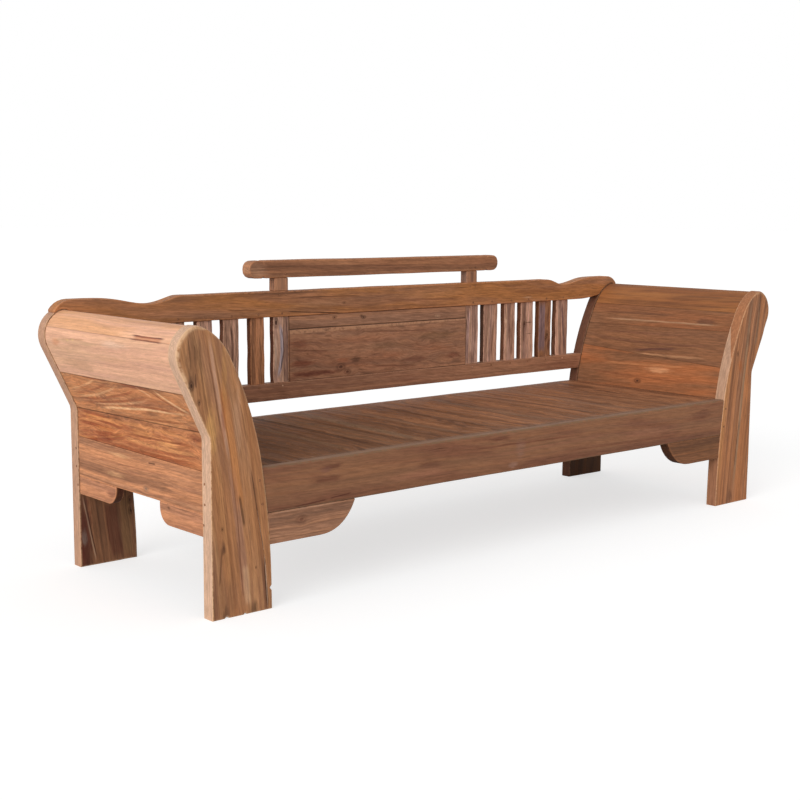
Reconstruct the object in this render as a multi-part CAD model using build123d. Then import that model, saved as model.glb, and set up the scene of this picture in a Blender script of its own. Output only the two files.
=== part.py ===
from build123d import *
import math
import os

# A long daybed of reclaimed teak: four sawn plank legs with scrolled heads, two
# boxed arms boarded inside and out, a planked seat, and a slatted back with a
# raised headrest bar.  Millimetres.  X runs along the seat, Y from front to
# back, Z up.  The origin is on the floor, under the middle of the bench.

# Overall
DEPTH = 800.0              # front of the front legs to back of the back legs
FOOT_REACH = 1260.0        # middle of the bench to the outer edge of a foot
SEAT_HEIGHT = 414.0

# Fits
CLEARANCE = 0.25           # left round every tenon
BOARD_GAP = 0.6            # left between seat boards

# Leg planks.  Heights marked "above the seat" move with the seat.
LEG_THICKNESS = 45.0
FOOT_WIDTH = 203.0
WAIST_WIDTH = 173.0        # width of the leg at the height of the seat
KNEE_RISE = 98.0           # above the seat, where the outer edge turns outwards
HEAD_RISE = 332.0          # above the seat, centre of the rounded head
HEAD_RADIUS = 82.0
HEAD_OVERHANG = 103.0      # how far the head stands out past the foot
HEAD_WIDTH = 166.0         # width of the head across its centre
CROWN_ANGLE = 80.0         # degrees from level, where the inner curve meets the head
CROWN_BLEND = 35.0         # radius that eases that meeting

# Arm skins, between the legs
SKIN_THICKNESS = 24.0
SKIN_RECESS = 3.0          # how far the skins lie behind the edges of the legs
OUTER_JOINTS = ((2.0, 10.0), (113.0, 102.0), (221.0, 218.0))  # above the seat, front and back
SCROLL_JOINT_OUTER = 363.0  # above the seat, outer edge of the scroll's bed
SCROLL_JOINT_INNER = 328.0  # above the seat, inner edge of the scroll's bed
INNER_JOINTS = ((119.0, 156.0), (256.0, 246.0))  # above the seat, at the front and the back
SIDE_RAIL_HEIGHT = 118.0
SIDE_RAIL_THICKNESS = 28.0

# Seat frame
RAIL_HEIGHT = 134.0
RAIL_THICKNESS = 43.0
RAIL_RECESS = 2.0          # rail face behind the face of the leg
SEAT_BOARD_THICKNESS = 20.0
REBATE_WIDTH = 12.0        # ledge under the ends of the seat boards
END_RAIL_WIDTH = 36.0
END_RAIL_HEIGHT = 90.0
BEARER_WIDTH = 50.0
BEARER_HEIGHT = 40.0
STRETCHER_WIDTH = 60.0
STRETCHER_HEIGHT = 40.0
STRETCHER_PLACE = 370.0    # middle of the bench to the middle of a stretcher
SEAT_BOARD_SHARES = (266, 266, 128, 146, 146, 175, 175, 160, 155, 180, 200, 227)
BOARDS_PER_NODE = 2

# Brackets under the rails
FRONT_BRACKET_LENGTH = 322.0
FRONT_BRACKET_DROP = 92.0
FRONT_BRACKET_FLAT = 190.0  # level part of the lower edge, from the leg
FRONT_BRACKET_BELLY = (0.31, 0.64)  # where the sweep bulges, as shares of its run and drop
FRONT_BRACKET_TIP = (0.45, -1.0)  # direction of the sweep at its tip
SIDE_BRACKET_LENGTH = 230.0
SIDE_BRACKET_DROPS = (65.0, 58.0)  # the front one and the back one
SIDE_BRACKET_NOSE = 50.0   # radius of the rounded end

# Back
LOWER_RAIL_GAP = 56.0      # above the seat
LOWER_RAIL_HEIGHT = 60.0
LOWER_RAIL_THICKNESS = 40.0
CREST_GAP = 232.0          # lower rail to crest, the height of a slat
CREST_HEIGHT = 89.0
CREST_DIP = 22.0           # depth of the hollow near each end of the crest
CREST_DIP_LEFT = 391.0     # the hollow's distance in from the scroll's outer edge
CREST_DIP_RIGHT = 391.0
CREST_SHOULDER = 90.0      # run from the level top down into the hollow
CREST_RETURN = 101.0       # run from the hollow back up to half its depth
CREST_BREAK_LEFT = 0.22    # slope that the left shoulder breaks into; the right one is round
CREST_SWELL = 2.5          # how far the ends rise above the level top
CREST_END = 36.0           # end of the crest, in from the outer edge of the head
CREST_NOSE = 58.0          # length and drop of the rounded end
CREST_NOSE_DROP = 31.0
CREST_SPRING = 230.0       # length and rise of the upward sweep under each end
CREST_SPRING_RISE = 44.0
SLAT_THICKNESS = 24.0
SLAT_RECESS = 7.0          # behind the face of the rails
SLAT_WIDTHS_LEFT = (57.0, 64.0, 60.0, 62.0, 62.0)
SLAT_WIDTHS_RIGHT = (74.0, 60.0, 72.0, 73.0, 71.0)
SLAT_GAPS_LEFT = (39, 50, 43, 47, 41, 90)    # how the free width is shared, stile to leg
SLAT_GAPS_RIGHT = (33, 42, 35, 35, 31, 85)
PANEL_LENGTH = 860.0
STILE_WIDTH_LEFT = 66.0
STILE_WIDTH_RIGHT = 70.0
PANEL_THICKNESS = 18.0
PANEL_RECESS = 5.0
LOWER_PANEL_PROUD = 2.0
PANEL_JOINT = 48.0         # under the crest
PANEL_TONGUE_THICKNESS = 8.0
PANEL_TONGUE_LENGTH = 9.0

# Headrest
HEADREST_GAP = 46.0        # crest to bar
HEADREST_HEIGHT = 60.0
HEADREST_LENGTH = 1200.0
HEADREST_THICKNESS = 45.0
HEADREST_NOSE = 27.0       # radius at the corners of the bar's ends
POST_PLACE = 461.0         # middle of the bench to the middle of a post
POST_WIDTH = 56.0
POST_THICKNESS = 36.0

# Joinery
TENON_INSET = 12.0         # outer face of the leg to the rail tenon
TENON_THICKNESS = 16.0
RAIL_TENON_LENGTH = 55.0
BRACKET_TENON_LENGTH = 30.0
TENON_SHOULDER = 15.0
STUB_LENGTH = 12.0         # stub tenons of the boards and inner members
STUB_SHOULDER = 6.0
LOG_SHOULDER = 18.0        # shoulder round the thick scroll's stub
SIDE_TENON_LENGTH = 25.0
STRETCHER_TENON_LENGTH = 22.0
SLAT_TENON_THICKNESS = 10.0
SLAT_TENON_LENGTH = 22.0
SLAT_SHOULDER = 8.0
POST_TENON_LENGTH = 26.0
CROWN_TENON_WIDTH = 46.0
CROWN_TENON_RISE = 15.0    # above the top of the head
PEG_DIAMETER = 6.0
PEG_BITE = 3.0             # how far a peg runs on past its tenon
PEG_EDGE = 15.0            # shoulder to the middle of a peg

# Levels and planes that follow
FRONT = -DEPTH / 2
BACK = DEPTH / 2
ARM_FRONT = FRONT + LEG_THICKNESS
ARM_BACK = BACK - LEG_THICKNESS
KNEE = SEAT_HEIGHT + KNEE_RISE
HEAD = SEAT_HEIGHT + HEAD_RISE
HEAD_EDGE = FOOT_REACH + HEAD_OVERHANG
HEAD_TOP = HEAD + HEAD_RADIUS
RAIL_BOTTOM = SEAT_HEIGHT - RAIL_HEIGHT
SIDE_RAIL_BOTTOM = SEAT_HEIGHT - SIDE_RAIL_HEIGHT
BOARD_BOTTOM = SEAT_HEIGHT - SEAT_BOARD_THICKNESS
LOWER_RAIL_BOTTOM = SEAT_HEIGHT + LOWER_RAIL_GAP
LOWER_RAIL_TOP = LOWER_RAIL_BOTTOM + LOWER_RAIL_HEIGHT
CREST_BOTTOM = LOWER_RAIL_TOP + CREST_GAP
CREST_TOP = CREST_BOTTOM + CREST_HEIGHT
BAR_BOTTOM = CREST_TOP + HEADREST_GAP
BAR_TOP = BAR_BOTTOM + HEADREST_HEIGHT
SLAT_FRONT = ARM_BACK + SLAT_RECESS
PANEL_FRONT = ARM_BACK + PANEL_RECESS
PANEL_MIDDLE = PANEL_FRONT + PANEL_THICKNESS / 2
POST_MIDDLE = ARM_BACK + HEADREST_THICKNESS / 2
CROWN_MIDDLE = HEAD_EDGE - HEAD_RADIUS - CROWN_TENON_WIDTH / 4
FAR = 3 * FOOT_REACH       # beyond the whole bench


def block(x, y, z):
    """A squared timber between low and high edges along X, Y and Z."""
    spans = (x, y, z)
    middle = [(low + high) / 2 for low, high in spans]
    return Pos(*middle) * Box(*[high - low for low, high in spans])


def plank(outline, front, back):
    """A plank sawn to an outline in X and Z, between two depths."""
    return extrude(Plane.XZ.offset(-back) * outline, back - front)


def flipped(part):
    """The same piece at the other end of the bench."""
    return mirror(part, about=Plane.YZ)


def leg_outline():
    """The right leg in X and Z: straight foot, knee, round head, long inner curve."""
    foot_inner = (FOOT_REACH - FOOT_WIDTH, 0)
    foot_outer = (FOOT_REACH, 0)
    knee = (FOOT_REACH, KNEE)
    centre = (HEAD_EDGE - HEAD_RADIUS, HEAD)
    run = centre[0] - knee[0]
    rise = centre[1] - knee[1]
    swing = math.asin(HEAD_RADIUS / math.hypot(run, rise))
    touch = math.atan2(rise, run) - swing - math.pi / 2
    crown = math.radians(CROWN_ANGLE)
    shoulder = (HEAD_EDGE - HEAD_WIDTH, HEAD)
    waist = (FOOT_REACH - WAIST_WIDTH, SEAT_HEIGHT)

    def on_head(angle):
        return (
            centre[0] + HEAD_RADIUS * math.cos(angle),
            centre[1] + HEAD_RADIUS * math.sin(angle),
        )

    outer = Polyline(foot_inner, foot_outer, knee, on_head(touch))
    head = ThreePointArc(on_head(touch), on_head((touch + crown) / 2), on_head(crown))
    shin = TangentArc(foot_inner, waist, tangent=(0, 1))
    thigh = TangentArc(waist, shoulder, tangent=shin % 1)
    brow = TangentArc(shoulder, on_head(crown), tangent=thigh % 1)
    outline = make_face([outer, head, shin, thigh, brow])
    corner = outline.vertices().sort_by_distance(on_head(crown))[0]
    return fillet(corner, CROWN_BLEND)


LEG = leg_outline()
ARM = offset(LEG, -SKIN_RECESS)
HOLLOW = offset(LEG, -SKIN_RECESS - SKIN_THICKNESS)


def inner_edge(height):
    """X of the right leg's inner edge at a height."""
    strip = Pos(0, height) * Rectangle(FAR, 0.1)
    return (LEG & strip).bounding_box().min.X


SEAT_REACH = inner_edge(SEAT_HEIGHT) + SKIN_RECESS + SKIN_THICKNESS


def stub(part, outwards, shoulder, length):
    """Stub tenon on the end of a part along Y, and the mortise that takes it."""
    end = part.faces().sort_by(Axis.Y)[-1 if outwards > 0 else 0]
    way = (0, outwards, 0)
    tenon = extrude(offset(end, -shoulder), length, dir=way)
    mortise = extrude(offset(end, CLEARANCE - shoulder), length + CLEARANCE, dir=way)
    return tenon, mortise


def between_legs(part, shoulder=STUB_SHOULDER, length=STUB_LENGTH):
    """A part tenoned into both legs of an arm, with its two mortises."""
    front_tenon, front_mortise = stub(part, -1, shoulder, length)
    back_tenon, back_mortise = stub(part, 1, shoulder, length)
    return part + front_tenon + back_tenon, [front_mortise, back_mortise]


def level_band(low, high):
    """Everything between two joints, each given at the front and at the back."""
    corners = [
        (ARM_FRONT, low[0]),
        (ARM_BACK, low[1]),
        (ARM_BACK, high[1]),
        (ARM_FRONT, high[0]),
    ]
    return extrude(Plane.YZ * make_face(Polyline(*corners, close=True)), 2 * FAR, both=True)


def above_bed():
    """The side of the scroll's sloping bed that holds the scroll, in X and Z."""
    inner_x = HEAD_EDGE - HEAD_WIDTH
    slope = (SCROLL_JOINT_OUTER - SCROLL_JOINT_INNER) / HEAD_WIDTH
    bed = SEAT_HEIGHT + SCROLL_JOINT_INNER
    left = (inner_x - FOOT_WIDTH, bed - slope * FOOT_WIDTH)
    right = (HEAD_EDGE + FOOT_WIDTH, bed + slope * (HEAD_WIDTH + FOOT_WIDTH))
    top = HEAD_TOP + FOOT_WIDTH
    return make_face(Polyline(left, right, (right[0], top), (left[0], top), close=True))


def inner_half():
    """The inner side of an arm, in X and Z, parted along the middle of the leg."""
    foot_middle = FOOT_REACH - FOOT_WIDTH / 2
    waist_middle = FOOT_REACH - WAIST_WIDTH / 2
    head_middle = HEAD_EDGE - HEAD_WIDTH / 2
    corners = [
        (0, 0),
        (foot_middle, 0),
        (waist_middle, KNEE),
        (head_middle, HEAD),
        (head_middle, HEAD_TOP),
        (0, HEAD_TOP),
    ]
    return make_face(Polyline(*corners, close=True))


def right_arm():
    """Scroll, skins and side rail of the right arm, and the mortises for them."""
    bed = above_bed()
    shell = ARM - HOLLOW
    inside = (shell & inner_half()) - bed
    outside = (shell - inner_half()) - bed
    inner_skin = plank(inside, ARM_FRONT, ARM_BACK)
    outer_skin = plank(outside, ARM_FRONT, ARM_BACK)
    seat = (SEAT_HEIGHT, SEAT_HEIGHT)
    over_rail, mid_outer, under_scroll = (
        tuple(SEAT_HEIGHT + rise for rise in pair) for pair in OUTER_JOINTS
    )
    top = (HEAD_TOP, HEAD_TOP)
    joints = [tuple(SEAT_HEIGHT + rise for rise in pair) for pair in INNER_JOINTS]
    rail_face = FOOT_REACH - SKIN_RECESS
    plain = {
        "arm_inner_board_lower": inner_skin & level_band(seat, joints[0]),
        "arm_inner_board_middle": inner_skin & level_band(joints[0], joints[1]),
        "arm_inner_board_upper": inner_skin & level_band(joints[1], top),
        "arm_outer_board_lower": outer_skin & level_band(over_rail, mid_outer),
        "arm_outer_board_upper": outer_skin & level_band(mid_outer, under_scroll),
        "arm_scroll_side": outer_skin & level_band(under_scroll, top),
    }
    scroll = plank(ARM & bed, ARM_FRONT, ARM_BACK)
    side_rail = block(
        (rail_face - SIDE_RAIL_THICKNESS, rail_face),
        (ARM_FRONT, ARM_BACK),
        (SIDE_RAIL_BOTTOM, KNEE),
    )
    side_rail &= level_band((0, 0), over_rail)
    parts = {}
    mortises = []
    for name, board in plain.items():
        parts[name], cuts = between_legs(board)
        mortises += cuts
    parts["arm_scroll_top"], cuts = between_legs(scroll, LOG_SHOULDER)
    mortises += cuts
    parts["side_rail"], cuts = between_legs(side_rail, STUB_SHOULDER, SIDE_TENON_LENGTH)
    mortises += cuts
    return parts, mortises


def end_rail():
    """Rail that carries the seat and the inner skin inside the right arm."""
    outer = SEAT_REACH + STUB_SHOULDER
    rail = block(
        (outer - END_RAIL_WIDTH, outer),
        (ARM_FRONT, ARM_BACK),
        (BOARD_BOTTOM - END_RAIL_HEIGHT, BOARD_BOTTOM),
    )
    return between_legs(rail)


def side_bracket(towards):
    """Bracket under the right side rail, against the back leg (1) or the front leg (-1)."""
    face = FOOT_REACH - SKIN_RECESS
    leg_y = ARM_BACK if towards > 0 else ARM_FRONT
    tip_y = leg_y - towards * SIDE_BRACKET_LENGTH
    low = SIDE_RAIL_BOTTOM - SIDE_BRACKET_DROPS[1 if towards > 0 else 0]
    blank = block(
        (face - SIDE_RAIL_THICKNESS, face),
        (min(leg_y, tip_y), max(leg_y, tip_y)),
        (low, SIDE_RAIL_BOTTOM),
    )
    tip = blank.edges().filter_by(Axis.X).sort_by(Axis.Z)[:2].sort_by(Axis.Y)
    bracket = fillet(tip[0 if towards > 0 else 1], SIDE_BRACKET_NOSE)
    tenon, mortise = stub(bracket, towards, STUB_SHOULDER, STUB_LENGTH)
    return bracket + tenon, mortise


def leg_bulk(front, back):
    """Both legs' outline as plain timber between two depths, to scribe rails to."""
    right = plank(LEG, front, back)
    return right + flipped(right)


def rail_tenon(reach, outer_face, low, high, slack=0.0):
    """Bare tenon through a rail's whole length, out to its reach on both sides."""
    inwards = 1 if outer_face < 0 else -1
    near = outer_face + inwards * (TENON_INSET - slack)
    far = outer_face + inwards * (TENON_INSET + TENON_THICKNESS + slack)
    return block(
        (-reach - slack, reach + slack),
        (min(near, far), max(near, far)),
        (low - slack, high + slack),
    )


def tenoned(body, reach, outer_face, low, high):
    """A rail scribed between two legs and its tenons, with the mortise cutter."""
    box = body.bounding_box()
    shaped = body - leg_bulk(box.min.Y, box.max.Y)
    middle = shaped.solids().sort_by(SortBy.VOLUME)[-1]
    root = block(
        (-FOOT_REACH / 2, FOOT_REACH / 2),
        (FRONT, BACK),
        (low, high),
    )
    tenon = rail_tenon(reach, outer_face, low, high) - root
    return middle + tenon, rail_tenon(reach, outer_face, low, high, CLEARANCE)


def seat_rail(side):
    """Front (-1) or back (1) rail of the seat, rebated for the boards."""
    outer_face = side * BACK
    face = side * (BACK - RAIL_RECESS)
    inner = side * (BACK - RAIL_RECESS - RAIL_THICKNESS)
    rebate = side * (BACK - RAIL_RECESS - RAIL_THICKNESS + REBATE_WIDTH)
    body = block(
        (-FOOT_REACH, FOOT_REACH),
        (min(face, inner), max(face, inner)),
        (RAIL_BOTTOM, SEAT_HEIGHT),
    )
    body -= block(
        (-FOOT_REACH, FOOT_REACH),
        (min(inner, rebate), max(inner, rebate)),
        (BOARD_BOTTOM, SEAT_HEIGHT),
    )
    reach = inner_edge(RAIL_BOTTOM) + RAIL_TENON_LENGTH
    low = RAIL_BOTTOM + TENON_SHOULDER
    return tenoned(body, reach, outer_face, low, BOARD_BOTTOM)


def lower_back_rail():
    """Rail under the slats and the panel."""
    body = block(
        (-FOOT_REACH, FOOT_REACH),
        (ARM_BACK, ARM_BACK + LOWER_RAIL_THICKNESS),
        (LOWER_RAIL_BOTTOM, LOWER_RAIL_TOP),
    )
    reach = inner_edge(LOWER_RAIL_TOP) + RAIL_TENON_LENGTH
    low = LOWER_RAIL_BOTTOM + TENON_SHOULDER
    high = LOWER_RAIL_TOP - TENON_SHOULDER
    return tenoned(body, reach, BACK, low, high)


def front_bracket():
    """Right bracket under the front rail: level by the leg, then swept up to a point."""
    leg_x = inner_edge(RAIL_BOTTOM)
    low = RAIL_BOTTOM - FRONT_BRACKET_DROP
    level = leg_x - FRONT_BRACKET_FLAT
    tip = leg_x - FRONT_BRACKET_LENGTH
    along, down = FRONT_BRACKET_BELLY
    belly = (tip + along * (level - tip), RAIL_BOTTOM - down * FRONT_BRACKET_DROP)
    top = Polyline((level, low), (FOOT_REACH, low), (FOOT_REACH, RAIL_BOTTOM), (tip, RAIL_BOTTOM))
    sweep = Spline((tip, RAIL_BOTTOM), belly, (level, low), tangents=[FRONT_BRACKET_TIP, (1, 0)])
    front = FRONT + RAIL_RECESS
    body = plank(make_face([top, sweep]), front, front + RAIL_THICKNESS)
    body -= leg_bulk(front, front + RAIL_THICKNESS)
    body = body.solids().sort_by(Axis.X)[0]
    reach = leg_x + BRACKET_TENON_LENGTH
    high = RAIL_BOTTOM - TENON_SHOULDER
    root = block((-FAR, leg_x - STUB_SHOULDER), (FRONT, BACK), (low, RAIL_BOTTOM))
    tenon = rail_tenon(reach, FRONT, low + TENON_SHOULDER, high) - root
    mortise = rail_tenon(reach, FRONT, low + TENON_SHOULDER, high, CLEARANCE)
    return body + tenon, mortise


def crest_top(side, dip, slope):
    """Upper edge of the crest towards one end: shoulder, hollow, swell and rounded nose."""
    hollow = HEAD_EDGE - dip
    end = HEAD_EDGE - CREST_END
    swell = CREST_TOP + CREST_SWELL
    points = [
        (side * (hollow - CREST_SHOULDER), CREST_TOP),
        (side * hollow, CREST_TOP - CREST_DIP),
        (side * (hollow + CREST_RETURN), CREST_TOP - CREST_DIP / 2),
        (side * (end - CREST_NOSE), swell),
    ]
    wave = Spline(*points, tangents=[(side, -slope), (side, 0)])
    nose = TangentArc(points[-1], (side * end, swell - CREST_NOSE_DROP), tangent=(side, 0))
    return wave, nose


def crest_outline():
    """Crest rail in X and Z, before it is scribed over the heads of the legs."""
    right = crest_top(1, CREST_DIP_RIGHT, 0)
    left = crest_top(-1, CREST_DIP_LEFT, CREST_BREAK_LEFT)
    spring = HEAD_EDGE - HEAD_WIDTH - CREST_SPRING / 2
    sweep_end = (spring + CREST_SPRING, CREST_BOTTOM + CREST_SPRING_RISE)
    edges = [Line(left[0] @ 0, right[0] @ 0), Line((spring, CREST_BOTTOM), (-spring, CREST_BOTTOM))]
    for side, top in ((1, right), (-1, left)):
        sweep = (side * sweep_end[0], sweep_end[1])
        low_end = (side * (HEAD_EDGE - CREST_END), HEAD)
        edges += [
            *top,
            Polyline(top[1] @ 1, low_end, sweep),
            TangentArc((side * spring, CREST_BOTTOM), sweep, tangent=(side, 0)),
        ]
    return make_face(edges)


def crown_tenon(slack=0.0):
    """Tenon on the head of the right back leg, up into the crest."""
    half = CROWN_TENON_WIDTH / 2 + slack
    back = BACK - TENON_INSET + slack
    front = BACK - TENON_INSET - TENON_THICKNESS - slack
    top = HEAD_TOP + CROWN_TENON_RISE + slack
    return block((CROWN_MIDDLE - half, CROWN_MIDDLE + half), (front, back), (HEAD, top))


def upright(middle, width, y, z, tenon_length, tenon_thickness):
    """An upright with a tenon at each end, and the mortise cutter for it."""
    body = block((middle - width / 2, middle + width / 2), y, z)
    depth_middle = (y[0] + y[1]) / 2

    def core(slack):
        half = width / 2 - SLAT_SHOULDER + slack
        depth = tenon_thickness / 2 + slack
        return block(
            (middle - half, middle + half),
            (depth_middle - depth, depth_middle + depth),
            (z[0] - tenon_length - slack, z[1] + tenon_length + slack),
        )

    return body + core(0.0), core(CLEARANCE)


def slat_places(side, stile_width, widths, gaps):
    """Middle and width of each slat from the stile out to the leg."""
    start = PANEL_LENGTH / 2 + stile_width
    air = inner_edge(LOWER_RAIL_TOP) - start - sum(widths)
    places = []
    for width, gap in zip(widths, gaps):
        start += air * gap / sum(gaps)
        places.append((side * (start + width / 2), width))
        start += width
    return places


def uprights():
    """Stiles, slats and headrest posts, the cutters for them, and their peg places."""
    slat_y = (SLAT_FRONT, SLAT_FRONT + SLAT_THICKNESS)
    slat_z = (LOWER_RAIL_TOP, CREST_BOTTOM)
    parts = {}
    cutters = []
    pegs = []

    def stand(name, middle, width):
        parts[name], cutter = upright(
            middle, width, slat_y, slat_z, SLAT_TENON_LENGTH, SLAT_TENON_THICKNESS
        )
        cutters.append(cutter)
        pegs.append((middle, CREST_BOTTOM + SLAT_TENON_LENGTH / 2))
        pegs.append((middle, LOWER_RAIL_TOP - SLAT_TENON_LENGTH / 2))

    sides = (
        ("left", -1, STILE_WIDTH_LEFT, SLAT_WIDTHS_LEFT, SLAT_GAPS_LEFT),
        ("right", 1, STILE_WIDTH_RIGHT, SLAT_WIDTHS_RIGHT, SLAT_GAPS_RIGHT),
    )
    for word, side, stile_width, widths, gaps in sides:
        stand("stile_" + word, side * (PANEL_LENGTH + stile_width) / 2, stile_width)
        places = slat_places(side, stile_width, widths, gaps)
        for number, (middle, width) in enumerate(places, 1):
            stand(f"slat_{word}_{number}", middle, width)
        post_y = (POST_MIDDLE - POST_THICKNESS / 2, POST_MIDDLE + POST_THICKNESS / 2)
        post_z = (CREST_TOP, BAR_BOTTOM)
        parts["headrest_post_" + word], cutter = upright(
            side * POST_PLACE, POST_WIDTH, post_y, post_z, POST_TENON_LENGTH, TENON_THICKNESS
        )
        cutters.append(cutter)
        for x in (side * POST_PLACE - POST_WIDTH / 4, side * POST_PLACE + POST_WIDTH / 4):
            pegs.append((x, CREST_TOP - POST_TENON_LENGTH / 2))
            pegs.append((x, BAR_BOTTOM + POST_TENON_LENGTH / 2))
    return parts, cutters, pegs


def panel_boards():
    """The two boards of the back panel and the grooves for their tongues."""
    joint = CREST_BOTTOM - PANEL_JOINT
    half = PANEL_LENGTH / 2
    y = (PANEL_FRONT, PANEL_FRONT + PANEL_THICKNESS)

    def tongue(low, high, slack=0.0):
        reach = half + PANEL_TONGUE_LENGTH + slack
        depth = PANEL_TONGUE_THICKNESS / 2 + slack
        return block((-reach, reach), (PANEL_MIDDLE - depth, PANEL_MIDDLE + depth), (low, high))

    low_tongue = LOWER_RAIL_TOP - PANEL_TONGUE_LENGTH
    high_tongue = CREST_BOTTOM + PANEL_TONGUE_LENGTH
    upper = block((-half, half), y, (joint, CREST_BOTTOM)) + tongue(joint, high_tongue)
    face = block((-half, half), (y[0] - LOWER_PANEL_PROUD, y[1]), (LOWER_RAIL_TOP, joint))
    lip = face.edges().filter_by(Axis.X).group_by(Axis.Z)[-1].sort_by(Axis.Y)[0]
    lower = chamfer(lip, 4 * LOWER_PANEL_PROUD, LOWER_PANEL_PROUD) + tongue(low_tongue, joint)
    groove = tongue(low_tongue - CLEARANCE, high_tongue + CLEARANCE, CLEARANCE)
    return {"back_panel_upper": upper, "back_panel_lower": lower}, groove


def headrest_bar():
    """Bar over the crest with rounded ends."""
    half = HEADREST_LENGTH / 2
    blank = Pos(0, (BAR_BOTTOM + BAR_TOP) / 2) * Rectangle(2 * half, HEADREST_HEIGHT)
    outline = fillet(blank.vertices(), HEADREST_NOSE)
    return plank(outline, ARM_BACK, ARM_BACK + HEADREST_THICKNESS)


def seat_boards():
    """Boards from rebate to rebate, the end ones notched round the legs."""
    scale = 2 * SEAT_REACH / sum(SEAT_BOARD_SHARES)
    reach = BACK - RAIL_RECESS - RAIL_THICKNESS + REBATE_WIDTH - BOARD_GAP
    notch_x = inner_edge(BOARD_BOTTOM) - BOARD_GAP
    legs_y = ARM_BACK - BOARD_GAP
    edge = -SEAT_REACH
    boards = []
    for share in SEAT_BOARD_SHARES:
        far_edge = edge + share * scale
        board = block(
            (edge + BOARD_GAP / 2, far_edge - BOARD_GAP / 2),
            (-reach, reach),
            (BOARD_BOTTOM, SEAT_HEIGHT),
        )
        if max(abs(edge), abs(far_edge)) > notch_x:
            for x in ((-FAR, -notch_x), (notch_x, FAR)):
                board -= block(x, (legs_y, BACK), (0, SEAT_HEIGHT))
                board -= block(x, (FRONT, -legs_y), (0, SEAT_HEIGHT))
        boards.append(board)
        edge = far_edge
    groups = range(0, len(boards), BOARDS_PER_NODE)
    return {
        f"seat_boards_{at // BOARDS_PER_NODE + 1}": boards[at : at + BOARDS_PER_NODE]
        for at in groups
    }


def seat_bearer():
    """Long bearer under the middle of the boards, and its mortises in the end rails."""
    reach = SEAT_REACH + STUB_SHOULDER - END_RAIL_WIDTH
    z = (BOARD_BOTTOM - BEARER_HEIGHT, BOARD_BOTTOM)
    half = BEARER_WIDTH / 2
    body = block((-reach, reach), (-half, half), z)

    def core(slack):
        return block(
            (-reach - STUB_LENGTH - slack, reach + STUB_LENGTH + slack),
            (-half + STUB_SHOULDER - slack, half - STUB_SHOULDER + slack),
            (z[0] + STUB_SHOULDER - slack, z[1] - STUB_SHOULDER + slack),
        )

    return body + core(0.0), core(CLEARANCE)


def cross_stretcher(middle):
    """Stretcher from front rail to back rail under the bearer."""
    inner = BACK - RAIL_RECESS - RAIL_THICKNESS
    top = BOARD_BOTTOM - BEARER_HEIGHT
    half = STRETCHER_WIDTH / 2
    z = (top - STRETCHER_HEIGHT, top)
    body = block((middle - half, middle + half), (-inner, inner), z)

    def core(slack):
        reach = inner + STRETCHER_TENON_LENGTH + slack
        return block(
            (middle - half + STUB_SHOULDER - slack, middle + half - STUB_SHOULDER + slack),
            (-reach, reach),
            (z[0] + STUB_SHOULDER - slack, z[1] - STUB_SHOULDER + slack),
        )

    return body + core(0.0), core(CLEARANCE)


def peg(x, y, z, way, length, slack=0.0):
    """Round peg driven from a face, along a direction, with a slightly domed end."""
    radius = PEG_DIAMETER / 2 + slack
    body = Cylinder(radius, length + slack, align=(Align.CENTER, Align.CENTER, Align.MIN))
    if not slack:
        body = fillet(body.edges().sort_by(Axis.Z)[0], radius / 4)
    return Plane((x, y, z), z_dir=way) * body


def peg_places(back_pegs):
    """Start, direction and length of every peg in the bench."""
    through = TENON_INSET + TENON_THICKNESS + PEG_BITE
    through_slat = SLAT_RECESS + (SLAT_THICKNESS + SLAT_TENON_THICKNESS) / 2 + PEG_BITE
    through_post = (HEADREST_THICKNESS + TENON_THICKNESS) / 2 + PEG_BITE
    places = []
    for x, z in back_pegs:
        length = through_post if z > CREST_BOTTOM + SLAT_TENON_LENGTH else through_slat
        places.append(((x, ARM_BACK, z), (0, 1, 0), length))
    rail_levels = (RAIL_BOTTOM + 2 * TENON_SHOULDER, BOARD_BOTTOM - TENON_SHOULDER)
    side_levels = (SIDE_RAIL_BOTTOM + 2 * TENON_SHOULDER, SEAT_HEIGHT - 2 * TENON_SHOULDER)
    bracket_level = SIDE_RAIL_BOTTOM - min(SIDE_BRACKET_DROPS) / 2
    side_through = SKIN_RECESS + SIDE_RAIL_THICKNESS - STUB_SHOULDER + PEG_BITE
    lower_level = (LOWER_RAIL_BOTTOM + LOWER_RAIL_TOP) / 2
    for end in (-1, 1):
        for face in (-1, 1):
            for level in rail_levels:
                x = end * (inner_edge(level) + PEG_EDGE)
                places.append(((x, face * BACK, level), (0, -face, 0), through))
            for level in side_levels:
                y = face * (ARM_BACK + SIDE_TENON_LENGTH / 2)
                places.append(((end * FOOT_REACH, y, level), (-end, 0, 0), side_through))
            y = face * (ARM_BACK + STUB_LENGTH / 2)
            places.append(((end * FOOT_REACH, y, bracket_level), (-end, 0, 0), side_through))
        x = end * (inner_edge(lower_level) + PEG_EDGE)
        places.append(((x, BACK, lower_level), (0, -1, 0), through))
        crown = (end * CROWN_MIDDLE, BACK, HEAD_TOP + CROWN_TENON_RISE / 2)
        places.append((crown, (0, -1, 0), through))
    return places


def cut(part, cutters):
    """A part less every cutter whose box meets its own."""
    box = part.bounding_box()
    for cutter in cutters:
        other = cutter.bounding_box()
        apart = (
            other.min.X > box.max.X or other.max.X < box.min.X
            or other.min.Y > box.max.Y or other.max.Y < box.min.Y
            or other.min.Z > box.max.Z or other.max.Z < box.min.Z
        )
        if not apart:
            part = part - cutter
    return part


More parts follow.
